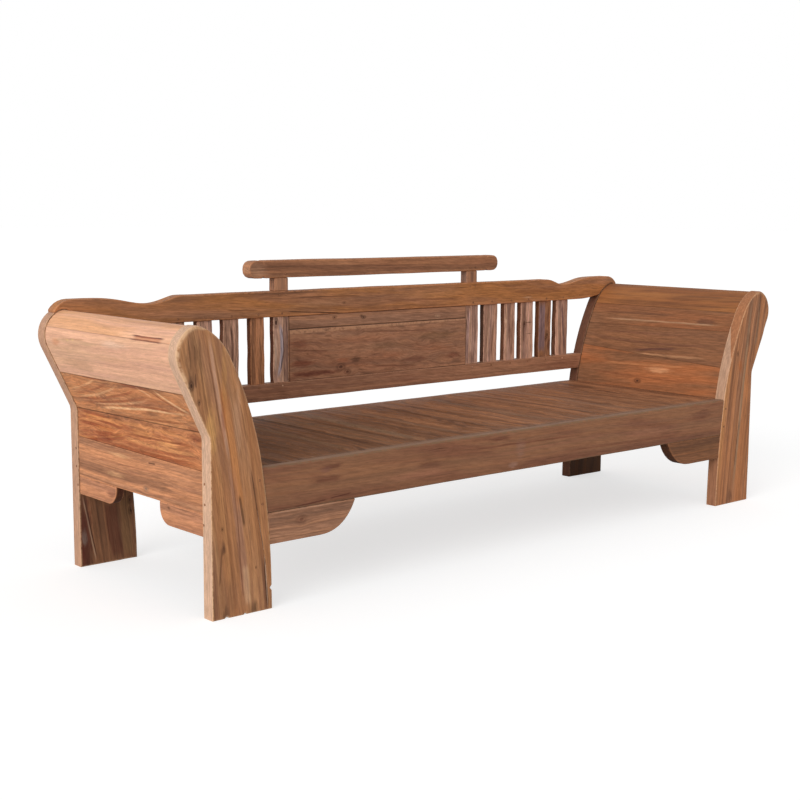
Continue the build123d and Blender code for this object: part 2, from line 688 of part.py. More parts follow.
def daybed():
    """Every node of the bench by name."""
    nodes = {}
    arm, leg_cuts = right_arm()
    arm["seat_end_rail"], cuts = end_rail()
    leg_cuts += cuts
    for word, towards in (("back", 1), ("front", -1)):
        arm["side_bracket_" + word], mortise = side_bracket(towards)
        leg_cuts.append(mortise)
    bracket, mortise = front_bracket()
    arm["front_bracket"] = bracket
    leg_cuts.append(mortise)

    nodes["front_rail"], mortise = seat_rail(-1)
    leg_cuts.append(mortise)
    nodes["back_seat_rail"], mortise = seat_rail(1)
    leg_cuts.append(mortise)
    nodes["lower_back_rail"], mortise = lower_back_rail()
    leg_cuts.append(mortise)

    front_leg = cut(plank(LEG, FRONT, ARM_FRONT), leg_cuts)
    back_leg = cut(plank(LEG, ARM_BACK, BACK) + crown_tenon(), leg_cuts)
    arm["leg_front"] = front_leg
    arm["leg_back"] = back_leg

    bearer, bearer_cut = seat_bearer()
    arm["seat_end_rail"] = arm["seat_end_rail"] - bearer_cut
    for name, part in arm.items():
        nodes[name + "_right"] = part
        nodes[name + "_left"] = flipped(part)

    nodes["seat_bearer"] = bearer
    for word, middle in (("left", -STRETCHER_PLACE), ("right", STRETCHER_PLACE)):
        nodes["cross_stretcher_" + word], mortise = cross_stretcher(middle)
        nodes["front_rail"] = nodes["front_rail"] - mortise
        nodes["back_seat_rail"] = nodes["back_seat_rail"] - mortise

    stands, stand_cuts, back_pegs = uprights()
    panel, groove = panel_boards()
    crest = plank(crest_outline(), ARM_BACK, BACK) - leg_bulk(ARM_BACK, BACK)
    crest = crest.solids().sort_by(SortBy.VOLUME)[-1]
    nodes["crest_rail"] = cut(crest, stand_cuts + [groove, crown_tenon(CLEARANCE)])
    nodes["crest_rail"] = nodes["crest_rail"] - flipped(crown_tenon(CLEARANCE))
    nodes["lower_back_rail"] = cut(nodes["lower_back_rail"], stand_cuts + [groove])
    nodes["headrest_bar"] = cut(headrest_bar(), stand_cuts)
    for name, part in stands.items():
        nodes[name] = part - groove if name.startswith("stile") else part
    nodes.update(panel)

    places = peg_places(back_pegs)
    holes = [peg(*start, way, length, CLEARANCE / 2) for start, way, length in places]
    nodes = {name: cut(part, holes) for name, part in nodes.items()}
    nodes.update(seat_boards())
    nodes["tenon_pegs"] = [peg(*start, way, length) for start, way, length in places]
    return nodes


os.makedirs("parts", exist_ok=True)
for name, part in daybed().items():
    if isinstance(part, list):
        part = Compound(children=[Part(piece.wrapped) for piece in part])
    export_step(part, os.path.join("parts", name + ".step"))
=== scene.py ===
import math

import bmesh
import bpy
from mathutils import Matrix, Vector, noise


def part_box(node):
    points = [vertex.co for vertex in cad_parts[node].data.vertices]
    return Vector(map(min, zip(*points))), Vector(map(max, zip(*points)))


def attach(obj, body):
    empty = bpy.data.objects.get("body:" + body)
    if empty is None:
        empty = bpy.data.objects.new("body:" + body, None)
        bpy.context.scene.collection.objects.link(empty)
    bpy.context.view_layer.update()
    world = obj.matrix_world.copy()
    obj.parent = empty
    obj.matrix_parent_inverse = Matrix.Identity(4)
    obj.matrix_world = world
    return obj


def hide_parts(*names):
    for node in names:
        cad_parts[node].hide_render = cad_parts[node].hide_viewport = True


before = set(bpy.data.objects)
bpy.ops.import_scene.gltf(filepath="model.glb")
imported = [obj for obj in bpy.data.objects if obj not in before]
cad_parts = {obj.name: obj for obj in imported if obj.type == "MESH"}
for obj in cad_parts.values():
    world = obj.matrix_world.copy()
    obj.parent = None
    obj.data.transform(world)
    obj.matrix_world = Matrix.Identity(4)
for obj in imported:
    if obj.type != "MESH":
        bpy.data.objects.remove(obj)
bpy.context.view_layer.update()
noise.seed_set(1)          # without it the noise starts from the clock, and no two runs agree

# Planes of the bench that the pieces meet, in metres
FRONT, ARM_FRONT = (corner.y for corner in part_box("leg_front_left"))
ARM_BACK, BACK = (corner.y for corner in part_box("leg_back_left"))
SLAT_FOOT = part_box("lower_back_rail")[1].z
SLAT_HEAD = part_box("crest_rail")[0].z
CREST_TOP = SLAT_HEAD + 0.089
BAR_FOOT, BAR_TOP = (corner.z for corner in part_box("headrest_bar"))
PANEL_END = -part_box("stile_left")[1].x
HAIR = 0.002               # just under a surface, clear of the joinery inside

# ---------------------------------------------------------------- timber


def merged(node):
    """A closed copy of a CAD node's mesh."""
    bm = bmesh.new()
    bm.from_mesh(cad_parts[node].data)
    bmesh.ops.remove_doubles(bm, verts=bm.verts, dist=2e-5)
    return bm


def everything(bm):
    return bm.verts[:] + bm.edges[:] + bm.faces[:]


def islands(bm):
    """The vertices of each separate solid."""
    left = set(bm.verts)
    out = []
    while left:
        stack = [left.pop()]
        whole = set(stack)
        while stack:
            for edge in stack.pop().link_edges:
                for v in edge.verts:
                    if v not in whole:
                        whole.add(v)
                        stack.append(v)
        left -= whole
        out.append(whole)
    return out


def outline_of(node, depth):
    """Outer outline of a node in X and Z, where a plane of constant Y cuts it."""
    bm = merged(node)
    cut = bmesh.ops.bisect_plane(
        bm, geom=everything(bm), plane_co=(0, depth, 0), plane_no=(0, 1, 0), dist=1e-6
    )["geom_cut"]
    left = {e for e in cut if isinstance(e, bmesh.types.BMEdge)}
    loops = []
    while left:
        edge = left.pop()
        first, here = edge.verts
        loop = [first.co.copy()]
        while here is not first:
            loop.append(here.co.copy())
            edge = next((e for e in here.link_edges if e in left), None)
            if edge is None:
                break
            left.discard(edge)
            here = edge.other_vert(here)
        loops.append([Vector((p.x, p.z)) for p in loop])
    bm.free()
    return max(loops, key=lambda loop: max(p.x for p in loop) - min(p.x for p in loop))


def turning(loop):
    """Angle that a closed outline turns through at each of its points."""
    turns = []
    for i, here in enumerate(loop):
        before = here - loop[i - 1]
        after = loop[(i + 1) % len(loop)] - here
        turns.append(abs(before.angle_signed(after, 0.0)))
    return turns


def eased(run, t):
    """Point on a smooth curve through the points of a run, t counted in points."""
    i = min(int(t), len(run) - 2)
    f = t - i
    p1, p2 = run[i], run[i + 1]
    p0 = run[i - 1] if i > 0 else p1 * 2 - p2
    p3 = run[i + 2] if i + 2 < len(run) else p2 * 2 - p1
    chord = (p2 - p1).length
    m1 = (p2 - p0) / max((p2 - p0).length, 1e-9) * chord
    m2 = (p3 - p1) / max((p3 - p1).length, 1e-9) * chord
    a = 2 * f**3 - 3 * f**2 + 1
    b = f**3 - 2 * f**2 + f
    c = -2 * f**3 + 3 * f**2
    d = f**3 - f**2
    return p1 * a + m1 * b + p2 * c + m2 * d


def corners_kept(loop, step, counts=None, corner=math.radians(26)):
    """The outline again with even points between its corners, from its lowest left corner on."""
    clean = []
    for p in loop:
        if not clean or (p - clean[-1]).length > 4e-4:
            clean.append(p)
    if (clean[0] - clean[-1]).length < 4e-4:
        clean.pop()
    area = sum(a.x * b.y - b.x * a.y for a, b in zip(clean, clean[1:] + clean[:1]))
    if area < 0:
        clean.reverse()
    turns = turning(clean)
    marks = [i for i, t in enumerate(turns) if t > corner]
    marks = marks or [len(clean) // 2]
    start = min(marks, key=lambda i: clean[i].x + 1.3 * clean[i].y)
    order = marks[marks.index(start):] + marks[: marks.index(start)]
    out, used = [], []
    for k, i in enumerate(order):
        j = order[(k + 1) % len(order)]
        run = [clean[m % len(clean)] for m in range(i, (j if j > i else j + len(clean)) + 1)]
        spans = [(b - a).length for a, b in zip(run, run[1:])]
        total = sum(spans)
        count = counts[k] if counts else max(1, round(total / step))
        used.append(count)
        for n in range(count):
            goal = total * n / count
            at = 0
            while at < len(spans) - 1 and goal > spans[at]:
                goal -= spans[at]
                at += 1
            out.append(eased(run, at + min(1.0, goal / spans[at])))
    return out, used


def drawn(*rings, marks=None):
    """Timber drawn through closed rings of points, each marked with how worn it is."""
    bm = bmesh.new()
    worn = bm.verts.layers.float.new("worn")
    rows, loops = [], []
    for number, ring in enumerate(rings):
        verts = [bm.verts.new(p) for p in ring]
        for v in verts:
            v[worn] = marks[number] if marks else 0.0
        rows.append(verts)
        loops.append([bm.edges.new((verts[i - 1], verts[i])) for i in range(len(verts))])
    for a, b in zip(rows, rows[1:]):
        for i in range(len(a)):
            bm.faces.new((a[i - 1], a[i], b[i], b[i - 1]))
    for loop in (loops[0], loops[-1]):
        bmesh.ops.edgeloop_fill(bm, edges=loop)
    bmesh.ops.recalc_face_normals(bm, faces=bm.faces)
    return bm


def between(front_loop, front_y, back_loop, back_y):
    """Timber between an outline at its front and one at its back."""
    return drawn(
        [Vector((p.x, front_y, p.y)) for p in front_loop],
        [Vector((p.x, back_y, p.y)) for p in back_loop],
    )


def inward(loop):
    """How far each point of an outline goes inwards for a shaving one unit wide."""
    out = []
    for i, here in enumerate(loop):
        before = (here - loop[i - 1]).normalized()
        after = (loop[(i + 1) % len(loop)] - here).normalized()
        a, b = Vector((-before.y, before.x)), Vector((-after.y, after.x))
        mid = (a + b).normalized()
        out.append(mid / max(mid.dot(a), 0.6))
    return out


BACK_ARRIS = 0.0025


def worked_plank(loop, front, back, ease, rim=0.004):
    """A plank from its outline, the arris of its front eased by a width and depth at each point."""
    ways = inward(loop)
    cuts = [ease(p) for p in loop]
    sense = 1 if back > front else -1
    rings, values = [], []

    def ring(y, shave, worn):
        rings.append([
            Vector(((p + n * shave(c)).x, y(c), (p + n * shave(c)).y))
            for p, n, c in zip(loop, ways, cuts)
        ])
        values.append(worn)

    turns = [math.radians(18 * i) for i in range(6)]
    ring(lambda c: front, lambda c: c[0] + rim, 0.0)
    for number, a in enumerate(turns):
        ring(
            lambda c, a=a: front + sense * c[1] * (1 - math.cos(a)),
            lambda c, a=a: c[0] * (1 - math.sin(a)),
            (0.3, 1.0, 1.0, 1.0, 1.0, 0.3)[number],
        )
    ring(lambda c: front + sense * (c[1] + rim), lambda c: 0.0, 0.0)
    ring(lambda c: back - sense * (BACK_ARRIS + rim), lambda c: 0.0, 0.0)
    for a in reversed(turns):
        ring(
            lambda c, a=a: back - sense * BACK_ARRIS * (1 - math.cos(a)),
            lambda c, a=a: BACK_ARRIS * (1 - math.sin(a)),
            1.0,
        )
    ring(lambda c: back, lambda c: BACK_ARRIS + rim, 0.0)
    return drawn(*rings, marks=values)


def squared(low, high):
    """Squared timber between two corners."""
    bm = bmesh.new()
    bmesh.ops.create_cube(bm, size=1)
    size = Vector(high) - Vector(low)
    bmesh.ops.scale(bm, vec=size, verts=bm.verts)
    bmesh.ops.translate(bm, vec=(Vector(low) + Vector(high)) / 2, verts=bm.verts)
    return bm


def ease_edges(bm, width, segments=4, rim=0.003, mark=1.0, limit=math.radians(26)):
    """Rounds the sharp edges, marks them and leaves a narrow rim beside them."""
    worn = bm.verts.layers.float.get("worn") or bm.verts.layers.float.new("worn")
    sharp = [e for e in bm.edges if len(e.link_faces) == 2 and e.calc_face_angle(0) > limit]
    made = bmesh.ops.bevel(
        bm, geom=sharp, offset=width, offset_type="OFFSET", segments=segments,
        profile=0.5, affect="EDGES", clamp_overlap=True, material=-1,
    )
    rounded = set(made["faces"])
    flat = [f for f in bm.faces if f not in rounded]
    for v in {v for f in rounded for v in f.verts}:
        v[worn] = mark
    made = bmesh.ops.inset_region(bm, faces=flat, thickness=rim, use_even_offset=True)
    ring = set(made["faces"])
    inner = {v for f in bm.faces if f not in ring and f not in rounded for v in f.verts}
    for v in inner:
        v[worn] = 0.0


def ruled(bm, steps):
    """Cuts the faces into a grid with the given spacing along X, Y and Z."""
    for axis, step in enumerate(steps):
        if not step:
            continue
        values = [v.co[axis] for v in bm.verts]
        low, high = min(values), max(values)
        count = max(1, round((high - low) / step))
        for i in range(1, count):
            point, normal = Vector(), Vector()
            point[axis] = low + (high - low) * i / count
            normal[axis] = 1.0
            bmesh.ops.bisect_plane(
                bm, geom=everything(bm), plane_co=point, plane_no=normal, dist=1e-6
            )


def crack(bm, start, end, width, depth):
    """Opens a drying crack in the front face between two points given in X and Z, millimetres."""
    split = bm.verts.layers.float.get("split") or bm.verts.layers.float.new("split")
    a, b = (Vector((x, 0, z)) / 1000 for x, z in (start, end))
    way = (b - a).normalized()
    over = Vector((-way.z, 0, way.x))
    length, half = (b - a).length, width / 2000

    def near(f):
        p = f.calc_center_median()
        along = (Vector((p.x, 0, p.z)) - a).dot(way)
        off = abs((Vector((p.x, 0, p.z)) - a).dot(over))
        return f.normal.y < -0.8 and -0.03 < along < length + 0.03 and off < 0.03

    planes = [(a + over * s * half, over) for s in (-1, 0, 1)]
    planes += [(a + way * length * i / 6, way) for i in range(7)]
    for point, normal in planes:
        bm.normal_update()
        faces = [f for f in bm.faces if near(f)]
        edges = {e for f in faces for e in f.edges}
        verts = {v for f in faces for v in f.verts}
        bmesh.ops.bisect_plane(
            bm, geom=faces + list(edges) + list(verts), plane_co=point, plane_no=normal, dist=1e-6
        )
    bm.normal_update()
    for v in {v for f in bm.faces if near(f) for v in f.verts}:
        p = Vector((v.co.x, 0, v.co.z)) - a
        along, off = p.dot(way), p.dot(over)
        if 0 < along < length and abs(off) < half + 1e-5:
            gape = math.sin(math.pi * along / length) ** 0.5
            v.co -= over * off * (1 - gape)
            if abs(off) < 1e-5:
                v.co.y += depth / 1000 * gape
                v[split] = gape


def hand_worked(bm, seed, face=0.0005, edge=0.001, scale=7.0, along=None):
    """Small unevenness left by hand tools: slow over the faces, quicker along the edges."""
    worn = bm.verts.layers.float["worn"]
    stretch = Vector((1, 1, 1))
    if along is not None:
        stretch[along] = 0.35
    for v in bm.verts:
        p = Vector(a * b for a, b in zip(v.co, stretch)) * scale + Vector((seed, seed * 1.7, 3.1))
        slow = noise.noise_vector(p)
        quick = noise.noise_vector(p * 3.3 + Vector((9, 2, 5)))
        v.co += slow * face + (slow * 0.6 + quick * 0.5) * edge * abs(v[worn])
        v.co.z = max(v.co.z, 0.0)


MAIN = {"rail": 1, "leg": 1, "arm": 0, "seat": 2}


def finished(name, bm, material, nodes, laid):
    """The piece as an object that rides on the bench in place of its CAD nodes."""
    bm.normal_update()
    edge_face = bm.faces.layers.float.new("side")
    for f in bm.faces:
        f[edge_face] = 1.0 if abs(f.normal[MAIN[laid]]) < 0.55 else 0.0
    mesh = bpy.data.meshes.new(name)
    bm.to_mesh(mesh)
    bm.free()
    mesh.shade_smooth()
    mesh.set_sharp_from_angle(angle=math.radians(24))
    mesh.materials.append(material)
    obj = bpy.data.objects.new(name + "_wood", mesh)
    bpy.context.scene.collection.objects.link(obj)
    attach(obj, "root")
    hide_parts(*nodes)
    return obj


# ---------------------------------------------------------------- shader nodes


class Tree:
    """Short ways to add and join shader nodes."""

    def __init__(self, tree):
        self.tree = tree

    def add(self, kind, ins=None, **settings):
        node = self.tree.nodes.new(kind)
        for key, value in settings.items():
            setattr(node, key, value)
        for key, value in (ins or {}).items():
            self.feed(node.inputs[key], value)
        return node

    def feed(self, socket, value):
        if isinstance(value, bpy.types.NodeSocket):
            self.tree.links.new(value, socket)
        else:
            socket.default_value = value

    def math(self, operation, a, b=0.0, c=0.0):
        node = self.add("ShaderNodeMath", {0: a, 1: b, 2: c}, operation=operation)
        return node.outputs[0]

    def times(self, *values):
        product = values[0]
        for value in values[1:]:
            product = self.math("MULTIPLY", product, value)
        return product

    def plus(self, a, b):
        return self.math("ADD", a, b)

    def minus(self, a, b):
        return self.math("SUBTRACT", a, b)

    def vec(self, operation, a, b=(0, 0, 0)):
        node = self.add("ShaderNodeVectorMath", {0: a, 1: b}, operation=operation)
        return node.outputs["Value" if operation in ("LENGTH", "DOT_PRODUCT") else "Vector"]

    def mix(self, share, a, b, blend="MIX"):
        node = self.add("ShaderNodeMix", data_type="RGBA", blend_type=blend, clamp_factor=True)
        self.feed(node.inputs["Factor"], share)
        self.feed(node.inputs[6], a)
        self.feed(node.inputs[7], b)
        return node.outputs[2]

    def step(self, value, low, high, out_low=0.0, out_high=1.0):
        node = self.add(
            "ShaderNodeMapRange",
            {"Value": value, "From Min": low, "From Max": high, "To Min": out_low, "To Max": out_high},
            interpolation_type="SMOOTHSTEP",
        )
        return node.outputs["Result"]

    def noise(self, vector, scale=1.0, detail=3.0, rough=0.55, kind="3D"):
        ins = {"Scale": scale, "Detail": detail, "Roughness": rough}
        ins["W" if kind == "1D" else "Vector"] = vector
        return self.add("ShaderNodeTexNoise", ins, noise_dimensions=kind)

    def grey(self, value):
        return self.add("ShaderNodeCombineColor", {0: value, 1: value, 2: value}).outputs[0]


def group(name, ins, outs):
    """An empty shader group with its sockets, and its first and last nodes."""
    tree = bpy.data.node_groups.new(name, "ShaderNodeTree")
    for label, kind, value in ins:
        socket = tree.interface.new_socket(label, in_out="INPUT", socket_type="NodeSocket" + kind)
        if value is not None:
            socket.default_value = value
    for label in outs:
        tree.interface.new_socket(label, in_out="OUTPUT", socket_type="NodeSocketFloat")
    made = Tree(tree)
    return made, made.add("NodeGroupInput"), made.add("NodeGroupOutput")


def grain_group():
    """Grain of sawn teak. X of the vector runs with the grain, Y across the face, Z into it."""
    t, start, end = group(
        "teak_grain",
        [
            ("Vector", "Vector", None),
            ("Pith", "Vector", (0.0, 0.0, -0.08)),
            ("Lean", "Float", 0.0),
            ("Bend", "Float", 0.0),
            ("Tilt", "Float", 0.0),
            ("Waver", "Float", 0.02),
            ("Swirl", "Float", 1.0),
            ("Rings", "Float", 60.0),
            ("Seed", "Float", 0.0),
        ],
        ["Bands", "Streaks", "Lines", "Fibre", "Pores", "Patches", "Checks", "Specks"],
    )
    ins = start.outputs
    seed = ins["Seed"]
    shift = t.add("ShaderNodeCombineXYZ", {"X": seed, "Y": t.times(seed, 1.37), "Z": 0.7})
    x = t.add("ShaderNodeSeparateXYZ", {0: ins["Vector"]}).outputs["X"]
    sway = t.plus(t.times(x, ins["Lean"]), t.times(x, x, ins["Bend"]))
    sway = t.add("ShaderNodeCombineXYZ", {"X": 0.0, "Y": sway, "Z": t.times(x, ins["Tilt"])})
    here = t.vec("SUBTRACT", ins["Vector"], sway.outputs[0])
    loose = t.add("ShaderNodeVectorMath", {0: here, "Scale": ins["Swirl"]}, operation="SCALE").outputs[0]
    loose = t.vec("ADD", t.vec("MULTIPLY", loose, (2.2, 5.0, 5.0)), shift.outputs[0])
    loose = t.noise(loose, 1.0, 2.0, 0.5)
    loose = t.vec("SUBTRACT", loose.outputs["Color"], (0.5, 0.5, 0.5))
    amount = t.add("ShaderNodeCombineXYZ", {"X": 0.0, "Y": ins["Waver"], "Z": ins["Waver"]})
    here = t.vec("ADD", here, t.vec("MULTIPLY", loose, amount.outputs[0]))

    def stretched(along, across, detail=3.0, rough=0.55):
        scaled = t.vec("MULTIPLY", here, (along, across, across))
        slant = t.vec("DOT_PRODUCT", scaled, (0.0, 0.61, 0.37))
        askew = t.add("ShaderNodeCombineXYZ", {"X": slant})
        scaled = t.vec("ADD", scaled, askew.outputs[0])
        return t.noise(t.vec("ADD", scaled, shift.outputs[0]), 1.0, detail, rough).outputs[0]

    radius = t.vec("LENGTH", t.vec("MULTIPLY", t.vec("SUBTRACT", here, ins["Pith"]), (0, 1, 1)))
    place = t.plus(t.times(radius, ins["Rings"]), t.times(seed, 3.1))
    bands = t.noise(place, 1.0, 4.0, 0.6, "1D").outputs[0]
    patches = stretched(2.4, 15.0, 3.0, 0.55)
    t.feed(end.inputs["Bands"], t.step(bands, 0.36, 0.66))
    t.feed(end.inputs["Streaks"], t.step(stretched(0.8, 48.0, 3.0, 0.55), 0.36, 0.66))
    t.feed(end.inputs["Lines"], stretched(1.6, 190.0, 2.0, 0.6))
    t.feed(end.inputs["Fibre"], stretched(16.0, 460.0, 2.0, 0.6))
    t.feed(end.inputs["Pores"], t.step(stretched(70.0, 900.0, 1.0, 0.5), 0.62, 0.72))
    t.feed(end.inputs["Patches"], t.step(patches, 0.38, 0.66))
    runs = t.step(stretched(5.0, 300.0, 2.0, 0.5), 0.63, 0.7)
    t.feed(end.inputs["Checks"], t.times(runs, t.step(patches, 0.45, 0.6)))
    t.feed(end.inputs["Specks"], stretched(24.0, 150.0, 4.0, 0.66))
    return t.tree


def stripe_group():
    """A soft line in millimetres with its slope and bend. Spread opens it to an arch."""
    t, start, end = group(
        "grain_stripe",
        [
            ("Vector", "Vector", None),
            ("Start", "Float", 0.0),
            ("Place", "Float", 0.0),
            ("Slope", "Float", 0.0),
            ("Bend", "Float", 0.0),
            ("Spread", "Float", 0.0),
            ("Half", "Float", 3.0),
            ("Soft", "Float", 2.0),
            ("Waver", "Float", 2.0),
            ("Reach", "Float", 100.0),
            ("Seed", "Float", 0.0),
        ],
        ["Mask"],
    )
    ins = start.outputs
    split = t.add("ShaderNodeSeparateXYZ", {0: ins["Vector"]})
    x = t.minus(split.outputs["X"], ins["Start"])
    wander = t.plus(t.times(x, 0.009), ins["Seed"])
    wander = t.noise(wander, 1.0, 3.0, 0.6, "1D").outputs[0]
    wander = t.times(t.minus(wander, 0.5), ins["Waver"])
    centre = t.plus(t.math("MULTIPLY_ADD", x, ins["Slope"], ins["Place"]), wander)
    centre = t.plus(centre, t.times(x, x, ins["Bend"]))
    off = t.math("ABSOLUTE", t.minus(split.outputs["Y"], centre))
    opening = t.times(t.math("SQRT", t.math("MAXIMUM", x, 0.0)), ins["Spread"])
    off = t.math("ABSOLUTE", t.minus(off, opening))
    across = t.step(off, ins["Half"], t.plus(ins["Half"], ins["Soft"]), 1.0, 0.0)
    fade = t.times(ins["Reach"], 0.18)
    first = t.step(x, 0.0, fade)
    last = t.step(x, t.minus(ins["Reach"], fade), ins["Reach"], 1.0, 0.0)
    t.feed(end.inputs["Mask"], t.times(across, t.times(first, last)))
    return t.tree


def blot_group():
    """A ragged soft patch in millimetres."""
    t, start, end = group(
        "grain_patch",
        [
            ("Vector", "Vector", None),
            ("Centre", "Vector", (0.0, 0.0, 0.0)),
            ("Size", "Vector", (20.0, 10.0, 0.0)),
        ],
        ["Mask"],
    )
    ins = start.outputs
    gap = t.vec("MULTIPLY", t.vec("SUBTRACT", ins["Vector"], ins["Centre"]), (1, 1, 0))
    size = t.vec("LENGTH", t.vec("MULTIPLY", t.vec("DIVIDE", gap, ins["Size"]), (1, 1, 0)))
    ragged = t.noise(t.vec("MULTIPLY", ins["Vector"], (0.03, 0.11, 0.11)), 1.0, 3.0, 0.6).outputs[0]
    size = t.plus(size, t.times(t.minus(ragged, 0.5), 1.4))
    t.feed(end.inputs["Mask"], t.step(size, 0.35, 1.25, 1.0, 0.0))
    return t.tree


def knot_group():
    """A knot in millimetres: its dark core, the rings round it, and how the grain is pushed aside."""
    t, start, end = group(
        "grain_knot",
        [
            ("Vector", "Vector", None),
            ("Centre", "Vector", (0.0, 0.0, 0.0)),
            ("Radius", "Float", 5.0),
        ],
        ["Core", "Ring", "Push"],
    )
    ins = start.outputs
    gap = t.vec("MULTIPLY", t.vec("SUBTRACT", ins["Vector"], ins["Centre"]), (0.6, 1, 0))
    rough = t.noise(ins["Vector"], 0.09, 2.0, 0.5).outputs[0]
    size = t.math("DIVIDE", t.vec("LENGTH", gap), ins["Radius"])
    size = t.plus(size, t.times(t.minus(rough, 0.5), 0.6))
    t.feed(end.inputs["Core"], t.step(size, 0.45, 1.0, 1.0, 0.0))
    t.feed(end.inputs["Ring"], t.times(t.step(size, 0.8, 1.1), t.step(size, 1.2, 2.4, 1.0, 0.0)))
    t.feed(end.inputs["Push"], t.math("POWER", 2.718, t.times(size, size, -0.16)))
    return t.tree


GRAIN, STRIPE, BLOT, KNOT = grain_group(), stripe_group(), blot_group(), knot_group()


def srgb(red, green, blue):
    """A colour as it is written on a paint card, as the linear values that shaders take."""
    return tuple(
        c / 3294.6 if c <= 10.3 else ((c / 255 + 0.055) / 1.055) ** 2.4 for c in (red, green, blue)
    ) + (1.0,)


# How the grain lies: rows that turn the bench's X, Y and Z into along, across and into the timber
LAID = {
    "rail": ((1, 0, 0), (0, 0, 1), (0, -1, 0)),
    "leg": ((0, 0, 1), (1, 0, 0), (0, 1, 0)),
    "arm": ((0, 1, 0), (0, 0, 1), (1, 0, 0)),
    "seat": ((0, 1, 0), (1, 0, 0), (0, 0, -1)),
}


def line(shade, share, half, *points, soft=None):
    """A line through two or three points, each along and across the grain in millimetres."""
    points = sorted(points)
    (a0, c0), (a1, c1) = points[0], points[-1]
    reach = a1 - a0
    bend = 0.0
    slope = (c1 - c0) / reach
    if len(points) == 3:
        am, cm = points[1]
        bend = (cm - c0 - slope * (am - a0)) / ((am - a0) * (am - a1))
        slope -= bend * reach
    soft = soft if soft is not None else 0.8 + 0.7 * half
    return ("line", shade, share, (a0, c0, slope, bend, 0.0, half, soft, reach))


def arch(shade, share, half, apex, slope, spread, reach, soft=None):
    """A line that opens like an arch from its apex."""
    soft = soft if soft is not None else 1.0 + 0.8 * half
    return ("line", shade, share, (apex[0], apex[1], slope, 0.0, spread, half, soft, reach))


def blot(shade, share, place, size):
    """A soft patch: its place and half its size, along and across the grain."""
    return ("blot", shade, share, (place, size))


def knot(place, radius, shade=(62, 38, 29)):
    return ("knot", shade, 0.85, (place, radius))


# Shares by which red, green and blue of a tone go up in its pale grain and down in its dark grain
PALING, DARKENING = (0.19, 0.14, 0.06), (0.27, 0.31, 0.33)
CRACK_SHADE = (34, 21, 15)


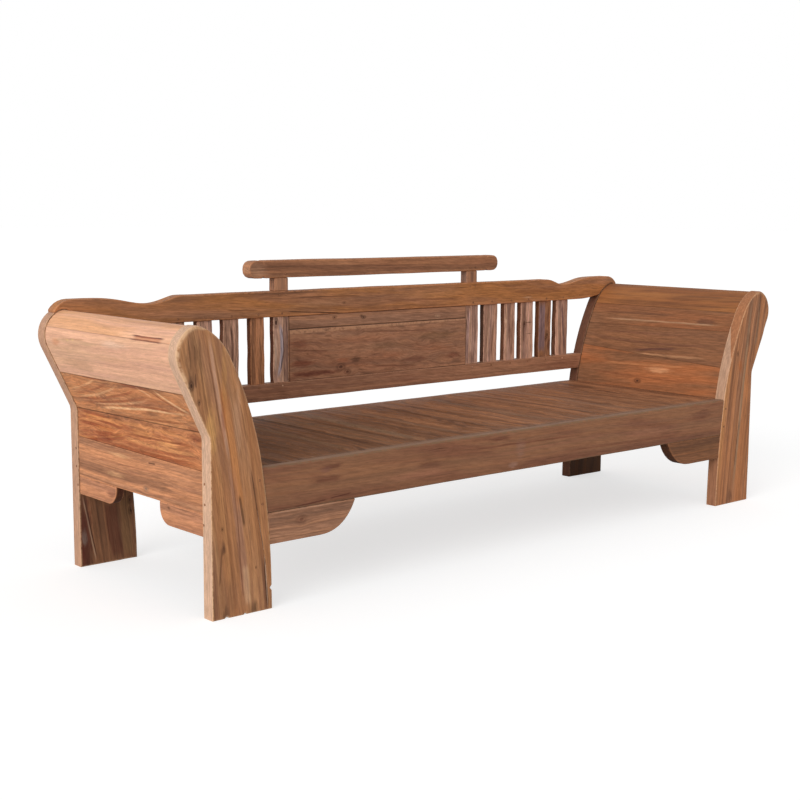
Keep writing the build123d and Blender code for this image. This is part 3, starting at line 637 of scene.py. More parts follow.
def teak(
    name, laid, centre, base, seed, light=None, dark=None, pith=(0.0, 0.02, -0.09), waver=0.02,
    swirl=1.0, rings=60.0, lean=0.0, bend=0.0, tilt=0.0, bands=0.7, streaks=0.6, lines=0.15, patches=0.5,
    patch=None, worn=0.45, worn_colour=None, side=None, side_share=0.8, facets=(), checks=0.5,
    specks=0.2, marks=(), rough=0.62, shine=0.16, lift=0.22, contrast=1.0,
):
    """Teak with the grain along one axis through a centre, from its middle tone and its marks."""
    made = bpy.data.materials.new("teak_" + name)
    made.use_nodes = True
    t = Tree(made.node_tree)
    shader = made.node_tree.nodes["Principled BSDF"]
    paled = tuple(min(250, c + contrast * (c * k + 7)) for c, k in zip(base, PALING))
    light = light or paled
    dark = dark or tuple(c * (1 - contrast * k) for c, k in zip(base, DARKENING))
    place = t.add("ShaderNodeTexCoord").outputs["Object"]
    turn = Matrix(LAID[laid]).transposed().to_euler()
    here = t.add(
        "ShaderNodeMapping", {"Vector": place, "Location": centre, "Rotation": turn},
        vector_type="TEXTURE",
    ).outputs[0]
    rule = t.add(
        "ShaderNodeMapping", {"Vector": place, "Rotation": turn, "Scale": (0.001, 0.001, 0.001)},
        vector_type="TEXTURE",
    ).outputs[0]
    middle_along = sum(a * b for a, b in zip(LAID[laid][0], centre)) * 1000
    middle_across = sum(a * b for a, b in zip(LAID[laid][1], centre)) * 1000
    cores = []
    for kind, shade, share, values in marks:
        if kind != "knot":
            continue
        (along, across), radius = values
        found = t.add("ShaderNodeGroup", {}, node_tree=KNOT)
        t.feed(found.inputs["Vector"], rule)
        t.feed(found.inputs["Centre"], (along, across, 0.0))
        t.feed(found.inputs["Radius"], radius)
        home = ((along - middle_along) / 1000, (across - middle_across) / 1000, 0.0)
        off = t.vec("MULTIPLY", t.vec("SUBTRACT", here, home), (0, 1, 0))
        push = t.times(found.outputs["Push"], -0.85)
        pull = t.add("ShaderNodeVectorMath", {0: off, "Scale": push}, operation="SCALE")
        here = t.vec("ADD", here, pull.outputs[0])
        cores.append((found, shade, share))
    grains = t.add("ShaderNodeGroup", {}, node_tree=GRAIN)
    for label, value in (
        ("Vector", here), ("Pith", pith), ("Waver", waver), ("Rings", rings), ("Seed", seed),
        ("Lean", lean), ("Bend", bend), ("Tilt", tilt), ("Swirl", swirl),
    ):
        t.feed(grains.inputs[label], value)
    out = grains.outputs
    colour = t.mix(t.times(out["Bands"], bands), srgb(*base), srgb(*dark))
    colour = t.mix(t.times(out["Streaks"], streaks), colour, srgb(*light))
    if patch:
        colour = t.mix(t.times(out["Patches"], patches), colour, srgb(*patch))
    wood = colour
    broken = t.math("MULTIPLY_ADD", out["Streaks"], 0.4, 0.7)
    for number, (kind, shade, share, values) in enumerate(marks):
        if kind == "knot":
            continue
        if kind == "line":
            found = t.add("ShaderNodeGroup", {}, node_tree=STRIPE)
            labels = ("Start", "Place", "Slope", "Bend", "Spread", "Half", "Soft", "Reach")
            for label, value in zip(labels, values):
                t.feed(found.inputs[label], value)
            t.feed(found.inputs["Waver"], 2.5 + 0.5 * values[5])
            t.feed(found.inputs["Seed"], seed + 5.3 * number)
        else:
            found = t.add("ShaderNodeGroup", {}, node_tree=BLOT)
            t.feed(found.inputs["Centre"], (*values[0], 0.0))
            t.feed(found.inputs["Size"], (*values[1], 1.0))
        t.feed(found.inputs["Vector"], rule)
        amount = t.times(found.outputs[0], share, broken)
        colour = t.mix(amount, colour, srgb(*shade))
    for found, shade, share in cores:
        colour = t.mix(t.times(found.outputs["Ring"], 0.45), colour, srgb(*shade))
        colour = t.mix(t.times(found.outputs["Core"], share), colour, srgb(*shade))

    def attribute(label):
        found = t.add("ShaderNodeAttribute", attribute_type="GEOMETRY", attribute_name=label)
        return found.outputs["Fac"]

    def deepened(share):
        return srgb(*(share * c for c in dark))

    colour = t.mix(t.times(out["Checks"], checks), colour, deepened(0.5))
    if side:
        edge = t.mix(side_share, wood, srgb(*side))
        for shade, (a, b, c, d) in facets:
            plane = t.plus(t.vec("DOT_PRODUCT", place, (a * 1000, b * 1000, c * 1000)), d)
            edge = t.mix(t.step(plane, -6.0, 6.0, 0.0, 0.85), edge, srgb(*shade))
        colour = t.mix(attribute("side"), colour, edge)
    fine = t.step(out["Lines"], 0.25, 0.75, 1.0 - lines, 1.0 + lines)
    fibre = t.step(out["Fibre"], 0.25, 0.75, 1.0 - 0.35 * lines, 1.0 + 0.3 * lines)
    mottle = t.step(out["Specks"], 0.3, 0.7, 1.0 - specks, 1.0 + specks)
    colour = t.mix(1.0, colour, t.grey(t.times(fine, fibre, mottle)), "MULTIPLY")
    colour = t.mix(t.times(out["Pores"], 0.2), colour, deepened(0.45))
    rubbed = attribute("worn")
    chipped = t.step(t.noise(place, 70.0, 3.0, 0.6).outputs[0], 0.3, 0.6)
    share = t.times(t.math("MAXIMUM", rubbed, 0.0), chipped, worn)
    colour = t.mix(share, colour, srgb(*(worn_colour or light)))
    seam = t.times(t.math("MAXIMUM", t.times(rubbed, -1.0), 0.0), 0.75)
    colour = t.mix(seam, colour, deepened(0.4))
    colour = t.mix(attribute("split"), colour, srgb(*CRACK_SHADE))
    t.feed(shader.inputs["Base Color"], colour)
    t.feed(shader.inputs["Roughness"], t.step(out["Streaks"], 0.0, 1.0, rough - 0.07, rough + 0.1))
    shader.inputs["Specular IOR Level"].default_value = shine
    height = t.math("MULTIPLY_ADD", out["Fibre"], 0.5, t.times(out["Bands"], -0.35))
    height = t.plus(height, t.times(out["Lines"], 0.6))
    height = t.minus(height, t.times(out["Pores"], 0.4))
    bump = t.add("ShaderNodeBump", {"Height": height, "Strength": lift, "Distance": 0.0012})
    t.feed(shader.inputs["Normal"], bump.outputs[0])
    return made


# ---------------------------------------------------------------- finishes

# Plain teak, and the woods of the bench as whole steps from it: paler, then warmer
TEAK = (160, 112, 82)
PALER, WARMER_GREEN, WARMER_BLUE = 1.12, 0.96, 0.9    # what one step does to a tone
WOODS = {
    "honey": (0, 0),
    "straw": (3, -2),
    "amber": (1, 1),
    "copper": (-3, 2),
    "tan": (-2, 1),
    "chestnut": (1, 0),
    "russet": (-1, 0),
    "rose": (0, -1),
    "driftwood": (2, -3),
    "walnut": (-2, 0),
    "umber": (-6, 2),
}
SEAT_PAINTED_SHADE, SEAT_UNSHADED = -2, 0       # steps paler at the left end of the seat and at the right: painted shade of the left arm darkens the left end
SEAT_SPAN = (-1.2, 0.5)              # where along the bench the seat goes from the painted shade to none
HIDDEN_TEAK = (125, 84, 60)


def wood_tone(paler, warmer):
    """Teak made paler and warmer by so many steps, or darker and greyer below nought."""
    red, green, blue = (c * PALER**paler for c in TEAK)
    return red, green * WARMER_GREEN**warmer, blue * WARMER_BLUE**warmer


# How each kind of piece is grained and worn, with some painted shade on the sides of the brackets,
# stiles and slats
FINISHES = {
    "leg": dict(
        wood="honey", rings=75, pith=(0, 0.03, -0.2), worn=0.4, worn_colour=(222, 180, 140),
        patches=0.5, bands=0.9, streaks=0.7, specks=0.13,
    ),
    "leg_front_left": dict(
        seed=1.0, lean=-0.147, bend=-0.09, side=(216, 178, 150), light=(196, 144, 100), worn=0.75,
        patch=(186, 124, 76),
    ),
    "leg_front_right": dict(
        seed=2.0, lean=0.141, bend=0.084, side=(188, 152, 126), patch=(190, 122, 74), contrast=1.3,
        facets=(
            ((158, 100, 62), (0.0, -3.1, 1.0, -1800.0)),
            ((150, 98, 68), (0.0, 0.0, -1.0, 290.0)),
        ),
    ),
    "leg_back_left": dict(wood="walnut", seed=3.0, lean=-0.147, bend=-0.09, side=(196, 152, 124)),
    "leg_back_right": dict(
        wood="umber", seed=4.0, lean=0.141, bend=0.084, side=(104, 64, 46), worn=0.1,
    ),
    "arm_scroll_top_right": dict(
        wood="copper", patch=(182, 118, 66), dark=(96, 52, 30), rings=70, contrast=1.5,
    ),
    "arm_scroll": dict(wood="straw", lines=0.1, lift=0.12, checks=0.25, specks=0.1),
    "arm_scroll_top": dict(
        seed=5.0, rings=50, waver=0.03, worn=0.3, patch=(232, 170, 118), patches=0.6, contrast=0.8,
    ),
    "arm_scroll_side": dict(
        seed=6.0, rings=45, waver=0.03, patch=(214, 172, 134), patches=0.4, bands=0.35, streaks=0.4,
        contrast=0.8,
    ),
    "arm_outer_board": dict(wood="amber"),
    "arm_outer_board_upper": dict(
        seed=7.0, rings=85, pith=(0, -0.02, -0.05), tilt=0.12, waver=0.05, swirl=2.0, bands=0.8,
        patch=(214, 150, 100), patches=0.5,
    ),
    "arm_outer_board_lower": dict(
        seed=8.0, rings=95, pith=(0, 0.01, -0.04), tilt=0.1, waver=0.07, swirl=2.6, bands=0.9,
        patch=(176, 104, 62), patches=0.5,
    ),
    "arm_inner_board": dict(
        wood="tan", bands=0.35, streaks=0.4, checks=0.2, lines=0.1, rings=40, patches=0.6,
    ),
    "arm_inner_board_upper": dict(seed=9.0, tilt=0.05, patch=(150, 92, 58)),
    "arm_inner_board_middle": dict(seed=10.0, tilt=0.08, waver=0.04, patch=(134, 90, 64)),
    "arm_inner_board_lower": dict(seed=11.0, patch=(184, 108, 62)),
    "side_rail": dict(wood="chestnut", seed=12.0, rings=50, waver=0.03, worn=0.4),
    "side_bracket": dict(wood="chestnut", seed=13.0, worn=0.5, patch=(176, 120, 92), patches=0.5),
    # the dark undersides and end faces of the brackets: partly the sawn wood's own darker colour, partly
    # painted shade
    "side_bracket_back": dict(side=(62, 30, 18), side_share=0.9),
    "front_bracket": dict(wood="tan", seed=14.0, worn=0.4, side=(60, 32, 20)),
    "front_bracket_left": dict(wood="rose"),
    "front_rail": dict(
        wood="russet",
        shine=0.1, seed=15.0, rings=50, side=(146, 116, 96), side_share=0.85, patch=(120, 72, 58),
        patches=0.5, worn=0.7, worn_colour=(128, 102, 78), lines=0.07, streaks=0.3, bands=0.3,
        lift=0.12,
        waver=0.015, specks=0.14, contrast=1.15,
    ),
    "back_seat_rail": dict(wood="russet", seed=16.0),
    "lower_back_rail": dict(wood="rose", contrast=0.8, seed=17.0, patch=(128, 78, 60), patches=0.4),
    "crest_rail": dict(
        wood="honey",
        seed=18.0, rings=55, tilt=0.02, patch=(186, 122, 68), patches=0.7, waver=0.03, swirl=1.5,
        streaks=0.5,
        bands=0.7, lines=0.12, contrast=1.35,
    ),
    "headrest_bar": dict(wood="honey", seed=19.0, patch=(140, 92, 68), patches=0.4),
    "headrest_post": dict(wood="rose", seed=20.0),
    "headrest_post_right": dict(side=(128, 98, 84)),
    "back_panel_upper": dict(wood="rose", seed=21.0, tilt=0.03),
    "back_panel_lower": dict(
        wood="rose",
        seed=22.0, tilt=0.03, waver=0.05, swirl=3.2, worn=1.0, worn_colour=(188, 138, 104),
        rings=75, lines=0.08,
        bands=0.6, streaks=0.5, patch=(140, 84, 60), patches=0.4, specks=0.22,
    ),
    # the dark side faces of the stiles and slats: partly the rough sawn sides' own colour, partly
    # painted shade between the slats
    "stile": dict(
        wood="driftwood",
        seed=23.0, side=(84, 42, 24), side_share=0.93, lines=0.35, shine=0.05, checks=0.9,
        patch=(136, 98, 80), patches=0.6, lift=0.7, specks=0.3, contrast=1.4,
    ),
    "slat": dict(
        wood="driftwood",
        seed=25.0, side=(92, 52, 32), side_share=0.93, lines=0.3, shine=0.05, checks=0.9, worn=0.3,
        waver=0.03,
        patch=(128, 90, 70), patches=0.55, lift=0.6, specks=0.3, contrast=1.2,
    ),
    "slat_left_1": dict(wood="chestnut"),
    "slat_right_1": dict(side=(60, 34, 22)),
    "slat_right_4": dict(wood="rose", patch=(150, 98, 62)),
    "seat_boards": dict(
        seed=40.0, worn=0.3, lines=0.1, bands=0.8, streaks=0.4, shine=0.05, rings=30, specks=0.22,
        tilt=0.06,
        waver=0.09, swirl=2.6, contrast=1.3, lift=0.12, patch=(84, 58, 42), patches=0.35,
    ),
    "seat_boards_2a": dict(patch=(120, 92, 66)),
    "frame": dict(seed=50.0),
    "pegs": dict(wood="russet", seed=60.0, rings=300),
    "pegs_pale": dict(wood="straw"),
}

DARK = (66, 40, 30)
SEAM_LINES = [
    line((120, 76, 66), 0.75, 1.2, (-325, 774), (-230, 775), (-135, 773)),
    line((96, 62, 60), 0.85, 1.4, (-330, 786), (-235, 784), (-140, 785)),
    line((184, 112, 78), 0.55, 3.5, (-320, 780), (-150, 779)),
    blot((240, 206, 130), 0.8, (180, 747), (9, 4)),
    blot((240, 206, 130), 0.8, (211, 744), (8, 3)),
    blot((196, 120, 72), 0.6, (290, 733), (28, 12)),
    line((170, 116, 84), 0.5, 1.2, (100, 752), (260, 744)),
    blot((226, 192, 168), 0.5, (-60, 750), (80, 11)),
    blot((186, 142, 112), 0.5, (190, 672), (95, 24)),
    blot((190, 156, 118), 0.5, (170, 742), (150, 9)),
    blot((222, 170, 130), 0.5, (-60, 700), (140, 12)),
]

SEAT_MARKS = [
    line((140, 112, 88), 0.6, 16, (-380, -425), (0, -412), (390, -395), soft=12),
    line((136, 106, 80), 0.45, 9, (-380, -720), (0, -700), (390, -705), soft=10),
    line((130, 104, 84), 0.4, 10, (-360, -250), (0, -235), (390, -245), soft=10),
    line((66, 42, 32), 0.55, 9, (-380, -612), (0, -590), (390, -588), soft=9),
    line((72, 46, 34), 0.5, 7, (-380, -468), (0, -470), (390, -460), soft=8),
    line((70, 46, 36), 0.5, 8, (-380, -60), (0, -80), (390, -50), soft=8),
    line((140, 112, 92), 0.45, 12, (-380, 210), (0, 190), (390, 230), soft=10),
    line((76, 52, 42), 0.5, 8, (-380, 420), (0, 440), (390, 400), soft=8),
    line((146, 116, 96), 0.4, 12, (-380, 640), (0, 610), (390, 660), soft=12),
    line((78, 54, 44), 0.45, 8, (-380, 860), (0, 830), (390, 850), soft=8),
    blot((138, 114, 98), 0.6, (-372, -300), (30, 900)),
    blot((138, 114, 98), 0.6, (-372, 700), (30, 700)),
    # painted shadow: a dark strip along the back edge of the seat
    blot((58, 38, 30), 0.6, (392, -100), (24, 1200)),
]

# Marks of each piece in millimetres: along the grain, then across it
MARKS = {
    "leg_front_left": [
        line((196, 150, 124), 0.7, 3.5, (810, -1262), (620, -1232), (430, -1195), soft=4),
        line((170, 122, 98), 0.7, 8, (460, -1200), (250, -1168), (10, -1148), soft=9),
        line((110, 68, 46), 0.6, 1.2, (780, -1252), (480, -1198), (60, -1160)),
        line((60, 36, 24), 0.85, 2.4, (160, -1084), (5, -1073)),
        blot((62, 44, 34), 0.6, (12, -1215), (34, 12)),
        blot((62, 44, 34), 0.55, (10, -1120), (26, 14)),
        blot((196, 150, 118), 0.45, (560, -1170), (110, 14)),
        blot((150, 84, 54), 0.5, (600, -1216), (110, 9)),
        line((100, 64, 46), 0.55, 1.5, (800, -1272), (650, -1246), (520, -1222)),
        line((208, 134, 76), 0.5, 8, (680, -1222), (500, -1190), (280, -1160), soft=9),
        line(DARK, 0.6, 2.6, (350, -1168), (250, -1150)),
        line(DARK, 0.85, 0.9, (430, -1130), (300, -1108), (150, -1082)),
        line((110, 70, 50), 0.6, 1.2, (225, -1178), (95, -1160)),
        line((110, 70, 50), 0.6, 1.2, (125, -1163), (50, -1157)),
        line((216, 172, 134), 0.5, 6, (150, -1150), (20, -1140), soft=7),
        line((110, 76, 52), 0.75, 1.2, (800, -1326), (700, -1318)),
        line((110, 76, 52), 0.75, 1.0, (775, -1306), (730, -1306)),
        line((112, 78, 54), 0.5, 2.0, (815, -1290), (700, -1286), (560, -1262)),
        knot((664, -1318), 5), knot((618, -1294), 3),
        line((84, 52, 38), 0.7, 1.2, (700, -1305), (655, -1303)),
        blot((96, 66, 50), 0.6, (672, -1316), (26, 14)),
        blot((124, 86, 60), 0.6, (735, -1312), (62, 24)),
        blot((214, 160, 98), 0.6, (540, -1254), (70, 20)),
        blot((206, 150, 88), 0.5, (690, -1212), (90, 10)),
        blot((112, 76, 56), 0.6, (205, -1222), (18, 8)),
        knot((257, -1225), 2), knot((130, -1113), 1.6),
        blot((92, 60, 42), 0.7, (195, -1222), (14, 10)),
        line((100, 64, 44), 0.6, 1.6, (200, -1228), (90, -1236)),
        blot((140, 98, 72), 0.5, (60, -1200), (60, 30)),
    ],
    "leg_front_right": [
        line((150, 122, 96), 0.7, 5, (830, 1246), (420, 1200), (20, 1160), soft=5),
        line((146, 118, 94), 0.6, 5, (810, 1292), (680, 1286), (600, 1272), soft=5),
        line((84, 52, 38), 0.7, 1.6, (815, 1299), (740, 1292)),
        line((124, 78, 52), 0.5, 3, (700, 1168), (380, 1120), (260, 1104)),
        line(DARK, 0.8, 0.9, (330, 1188), (240, 1176), (130, 1166)),
        line((104, 68, 48), 0.6, 1.5, (815, 1298), (700, 1290), (630, 1281)),
        line((104, 68, 48), 0.6, 1.5, (800, 1250), (700, 1240), (560, 1226)),
        line((112, 74, 52), 0.55, 4, (640, 1150), (470, 1128), (300, 1108)),
        line((208, 146, 92), 0.5, 9, (560, 1120), (300, 1080), (50, 1065), soft=9),
        blot((206, 130, 78), 0.55, (450, 1228), (60, 14)),
        knot((588, 1162), 3.5), blot((184, 104, 52), 0.6, (540, 1182), (30, 14)),
        blot((104, 68, 50), 0.55, (30, 1145), (26, 16)),
        blot((110, 74, 54), 0.5, (640, 1234), (32, 8)),
    ],
    "leg_back_left": [
        blot((96, 46, 38), 0.85, (90, -1242), (150, 26)),
        line((206, 168, 138), 0.5, 1.6, (235, -1250), (110, -1225), (5, -1204)),
        line((54, 32, 26), 0.6, 1.4, (235, -1246), (110, -1220), (5, -1199)),
        blot((160, 142, 130), 0.5, (95, -1245), (30, 10)),
        line((98, 52, 40), 0.7, 17, (210, -1155), (100, -1140), (0, -1125), soft=8),
        line((138, 106, 72), 0.5, 14, (230, -1100), (0, -1088), soft=8),
        knot((195, -1080), 5), knot((160, -1078), 5),
        line(DARK, 0.6, 1.0, (180, -1080), (150, -1072)),
    ],
    "arm_scroll_top_left": SEAM_LINES,
    "arm_scroll_side_left": SEAM_LINES,
    "arm_outer_board_upper_left": [
        line((236, 184, 136), 0.85, 2.2, (-350, 578), (-275, 598), (-190, 633)),
        line((236, 184, 136), 0.85, 2.2, (-350, 573), (-120, 563), (210, 531)),
        line((152, 88, 56), 0.7, 2.0, (-325, 577), (-250, 596), (-170, 628)),
        line((156, 90, 58), 0.7, 2.2, (-325, 570), (-110, 571), (230, 540)),
        line((228, 172, 126), 0.65, 1.8, (-170, 606), (-130, 620), (-90, 633)),
        line((228, 172, 126), 0.65, 2.0, (-172, 604), (-60, 579), (240, 548)),
        line((150, 84, 54), 0.7, 2.2, (-150, 604), (0, 578), (300, 541)),
        line((150, 84, 54), 0.65, 2.4, (-100, 622), (40, 588), (300, 553)),
        line((230, 174, 126), 0.6, 2.0, (20, 620), (120, 590), (310, 560)),
        line((156, 90, 58), 0.65, 2.2, (60, 628), (160, 598), (320, 570)),
        line((230, 174, 126), 0.55, 2.0, (140, 630), (220, 604), (330, 582)),
        blot((132, 66, 46), 0.85, (-90, 631), (90, 7)),
        blot((150, 78, 52), 0.7, (150, 631), (90, 4)),
        blot((132, 76, 50), 0.7, (-325, 528), (34, 14)),
        blot((176, 108, 70), 0.6, (-150, 590), (90, 16)),
        blot((170, 100, 62), 0.5, (230, 590), (70, 14)),
        line((150, 88, 56), 0.6, 2.4, (-340, 545), (-100, 532), (200, 516)),
    ],
    "arm_outer_board_lower_left": [
        arch((150, 76, 44), 0.75, 3.0, (22, 478), -0.05, 2.6, 330),
        arch((206, 134, 80), 0.7, 2.6, (44, 478), -0.05, 2.2, 310),
        arch((140, 70, 42), 0.75, 2.8, (66, 474), -0.04, 1.8, 290),
        arch((214, 142, 88), 0.7, 2.6, (90, 472), -0.04, 1.4, 260),
        arch((140, 68, 42), 0.75, 3.0, (112, 466), -0.03, 1.0, 240),
        blot((124, 60, 42), 0.6, (190, 440), (70, 12)),
        blot((200, 126, 72), 0.6, (180, 470), (60, 8)),
        line((146, 76, 44), 0.75, 6, (-350, 428), (0, 424), (350, 430), soft=4),
        line((150, 80, 48), 0.65, 3.0, (-350, 452), (-60, 440), (110, 446)),
        line((222, 154, 98), 0.6, 3.4, (-350, 462), (-80, 452), (100, 462)),
        line((150, 82, 50), 0.6, 3.0, (-350, 476), (0, 486), (350, 472)),
        line((214, 144, 90), 0.6, 3.4, (-350, 496), (20, 502), (350, 488)),
        blot((222, 156, 98), 0.6, (-170, 470), (60, 14)),
        blot((218, 150, 92), 0.5, (-40, 485), (70, 12)),
        blot((120, 62, 42), 0.75, (-325, 503), (46, 12)),
        line((128, 70, 44), 0.7, 2.0, (-300, 480), (60, 470)),
    ],
    "side_rail_left": [
        blot((222, 168, 120), 0.6, (130, 336), (60, 10)),
        blot((222, 168, 120), 0.6, (100, 398), (70, 7)),
        line(DARK, 0.8, 1.6, (-107, 401), (-63, 399)),
        blot((154, 102, 76), 0.5, (-290, 355), (45, 9)),
        blot((154, 102, 76), 0.5, (30, 356), (40, 7)),
        knot((-50, 320), 5, (118, 98, 84)),
        line((150, 98, 72), 0.6, 1.4, (-335, 318), (0, 308)),
        line((150, 98, 72), 0.45, 1.6, (-200, 376), (340, 368)),
    ],
    "side_bracket_front_left": [knot((-175, 284), 2.6)],
    "side_bracket_back_left": [blot((128, 82, 62), 0.6, (152, 274), (34, 16))],
    "front_rail": [
        blot((98, 56, 46), 0.6, (-840, 388), (48, 9)),
        blot((98, 56, 46), 0.55, (-850, 350), (62, 13)),
        blot((98, 56, 46), 0.5, (-440, 345), (72, 12)),
        blot((98, 56, 46), 0.55, (-130, 395), (55, 8)),
        blot((98, 56, 46), 0.5, (950, 370), (62, 20)),
        blot((128, 86, 74), 0.5, (-860, 380), (22, 10)),
        line((84, 46, 38), 0.8, 1.2, (-985, 285), (-850, 291)),
        line((84, 46, 38), 0.8, 1.2, (-850, 293), (-760, 299)),
        blot((170, 130, 112), 0.6, (-75, 300), (22, 12)),
        blot((150, 112, 96), 0.5, (-40, 350), (26, 34)),
        blot((178, 120, 92), 0.45, (-500, 320), (130, 14)),
        blot((178, 120, 92), 0.4, (620, 335), (150, 16)),
        line((112, 66, 52), 0.5, 2.0, (-300, 372), (250, 366)),
        line((112, 66, 52), 0.45, 2.4, (150, 318), (820, 308)),
        line((168, 110, 84), 0.4, 3.0, (-200, 340), (420, 352)),
    ],
    "front_bracket_left": [
        knot((-950, 245), 7, (116, 74, 56)),
        line((196, 152, 126), 0.6, 1.5, (-1070, 277), (-790, 277)),
    ],
    "front_bracket_right": [blot((118, 82, 56), 0.45, (980, 240), (90, 14))],
    "crest_rail": [
        line((60, 36, 27), 0.85, 1.0, (-450, 779), (-330, 771), (-180, 762)),
        line((92, 58, 42), 0.6, 1.6, (-420, 826), (-100, 822)),
        line((100, 64, 46), 0.6, 1.3, (-700, 793), (-560, 788)),
        knot((-185, 800), 3, (112, 74, 52)),
        blot((214, 172, 138), 0.6, (770, 782), (32, 3)),
        blot((128, 80, 54), 0.5, (850, 806), (160, 13)),
        blot((190, 138, 100), 0.45, (-300, 800), (150, 14)),
        blot((186, 130, 88), 0.45, (250, 815), (190, 16)),
        line((118, 76, 54), 0.5, 2.2, (0, 800), (420, 790)),
    ],
    "headrest_bar": [
        # painted highlight: the left end of the bar made paler, as if lit from the left
        blot((186, 142, 112), 0.5, (-570, 927), (50, 28)),
        line((112, 72, 52), 0.5, 1.8, (-400, 935), (180, 928)),
        blot((124, 80, 58), 0.45, (120, 915), (160, 10)),
        blot((176, 124, 90), 0.4, (330, 940), (120, 10)),
    ],
    "back_panel_upper": [
        knot((-90, 742), 4), knot((-100, 747), 3), knot((-225, 748), 4),
        knot((280, 728), 5, (190, 148, 118)),
    ],
    "back_panel_lower": [
        blot((112, 56, 40), 0.7, (-375, 590), (60, 16)),
        blot((102, 50, 38), 0.75, (-320, 552), (115, 13)),
        blot((168, 106, 76), 0.65, (-185, 590), (34, 9)),
        blot((88, 58, 44), 0.7, (-128, 588), (26, 13)),
        knot((-198, 566), 8, (74, 44, 34)), knot((-168, 546), 6, (88, 48, 36)),
        blot((178, 120, 88), 0.5, (-80, 662), (170, 15)),
        blot((124, 92, 66), 0.55, (270, 655), (130, 20)),
        blot((128, 94, 68), 0.5, (20, 632), (110, 12)),
        blot((112, 60, 46), 0.6, (165, 570), (75, 12)),
        blot((108, 58, 44), 0.6, (368, 574), (36, 14)),
        blot((168, 108, 78), 0.5, (50, 596), (90, 10)),
        blot((170, 112, 80), 0.5, (280, 606), (80, 9)),
        blot((120, 62, 44), 0.5, (-390, 660), (50, 14)),
        line((100, 58, 44), 0.6, 1.6, (-420, 640), (-250, 628)),
        line((104, 62, 46), 0.5, 1.8, (-60, 560), (180, 544)),
        line((172, 118, 88), 0.5, 2, (-300, 622), (60, 606)),
        line((106, 64, 48), 0.5, 1.6, (-120, 690), (260, 676)),
        line((170, 112, 80), 0.45, 2, (-250, 576), (-60, 560)),
    ],
    "stile_left": [
        line((176, 168, 178), 0.75, 4.5, (745, -472), (640, -460), (540, -480), soft=4),
        knot((741, -484), 7), line((214, 186, 160), 0.6, 3.0, (700, -488), (560, -486)),
        line((70, 46, 38), 0.6, 1.2, (735, -468), (640, -453), (560, -470)),
    ],
    "stile_right": [
        line((204, 166, 158), 0.65, 5, (755, 455), (650, 443), (535, 439), soft=4),
        blot((104, 72, 60), 0.5, (670, 486), (60, 6)),
        blot((108, 74, 58), 0.5, (560, 462), (30, 14)),
    ],
    "slat_left_2": [
        line((84, 56, 46), 0.7, 3, (755, -676), (640, -668), (540, -678)), knot((640, -688), 6),
    ],
    "slat_left_3": [line((98, 68, 54), 0.6, 2, (760, -775), (600, -770))],
    "slat_right_1": [
        line((196, 158, 128), 0.5, 3, (760, 553), (650, 558), (540, 548)),
        line((110, 76, 58), 0.6, 1.6, (700, 585), (540, 578)),
        blot((116, 78, 58), 0.5, (600, 572), (40, 7)),
    ],
    "slat_right_2": [
        line((190, 152, 124), 0.5, 2.6, (760, 662), (640, 660), (540, 668)),
        knot((690, 657), 3, (220, 186, 156)),
        line((112, 74, 56), 0.6, 1.6, (700, 694), (560, 690)),
        blot((110, 72, 54), 0.5, (570, 690), (26, 7)),
    ],
    "slat_right_3": [
        line((90, 62, 48), 0.75, 1.2, (690, 765), (640, 761), (598, 763)),
        blot((90, 62, 48), 0.8, (678, 788), (2.5, 26)),
        blot((104, 74, 56), 0.6, (632, 792), (2.5, 18)),
        knot((672, 766), 4),
    ],
    "slat_right_4": [
        line((140, 118, 124), 0.85, 17, (770, 868), (540, 864), soft=8),
        knot((622, 902), 6), knot((604, 893), 4), blot((84, 52, 44), 0.7, (580, 912), (36, 9)),
        blot((84, 52, 44), 0.5, (690, 905), (30, 9)),
        blot((206, 140, 92), 0.5, (548, 868), (12, 10)),
    ],
    "slat_right_5": [
        line((104, 78, 80), 0.75, 3.2, (760, 990), (660, 998), (550, 1012), soft=3),
        line((200, 168, 140), 0.45, 4, (740, 972), (560, 975)),
    ],
    "arm_inner_board_lower_right": [
        knot((35, 445), 6), blot((214, 156, 112), 0.55, (-60, 498), (70, 12)),
        line((128, 76, 50), 0.5, 2.2, (-330, 468), (0, 462), (330, 470)),
        line((204, 140, 94), 0.45, 3, (-200, 520), (250, 505)),
    ],
    "arm_inner_board_middle_right": [
        line((84, 52, 46), 0.8, 3.2, (-140, 588), (-30, 578), (95, 566)),
        line((104, 66, 50), 0.6, 3, (-330, 612), (-60, 600), (320, 610)),
        line((112, 72, 54), 0.5, 2.4, (-200, 640), (300, 632)),
        line((196, 146, 106), 0.45, 3, (-300, 560), (320, 548)),
    ],
    "arm_inner_board_upper_right": [
        blot((92, 60, 46), 0.65, (-232, 700), (56, 14)),
        line((190, 150, 116), 0.5, 2, (-330, 690), (300, 684)),
        line((96, 62, 46), 0.55, 2.2, (-100, 715), (330, 710)),
    ],
}


def middle(node):
    low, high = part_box(node)
    return tuple((low + high) / 2)


def finish_of(piece):
    """How a piece is finished: what is said of its kind, then what is said of it alone."""
    spec = {}
    for kind in sorted((k for k in FINISHES if piece.startswith(k)), key=len):
        spec.update(FINISHES[kind])
    return spec


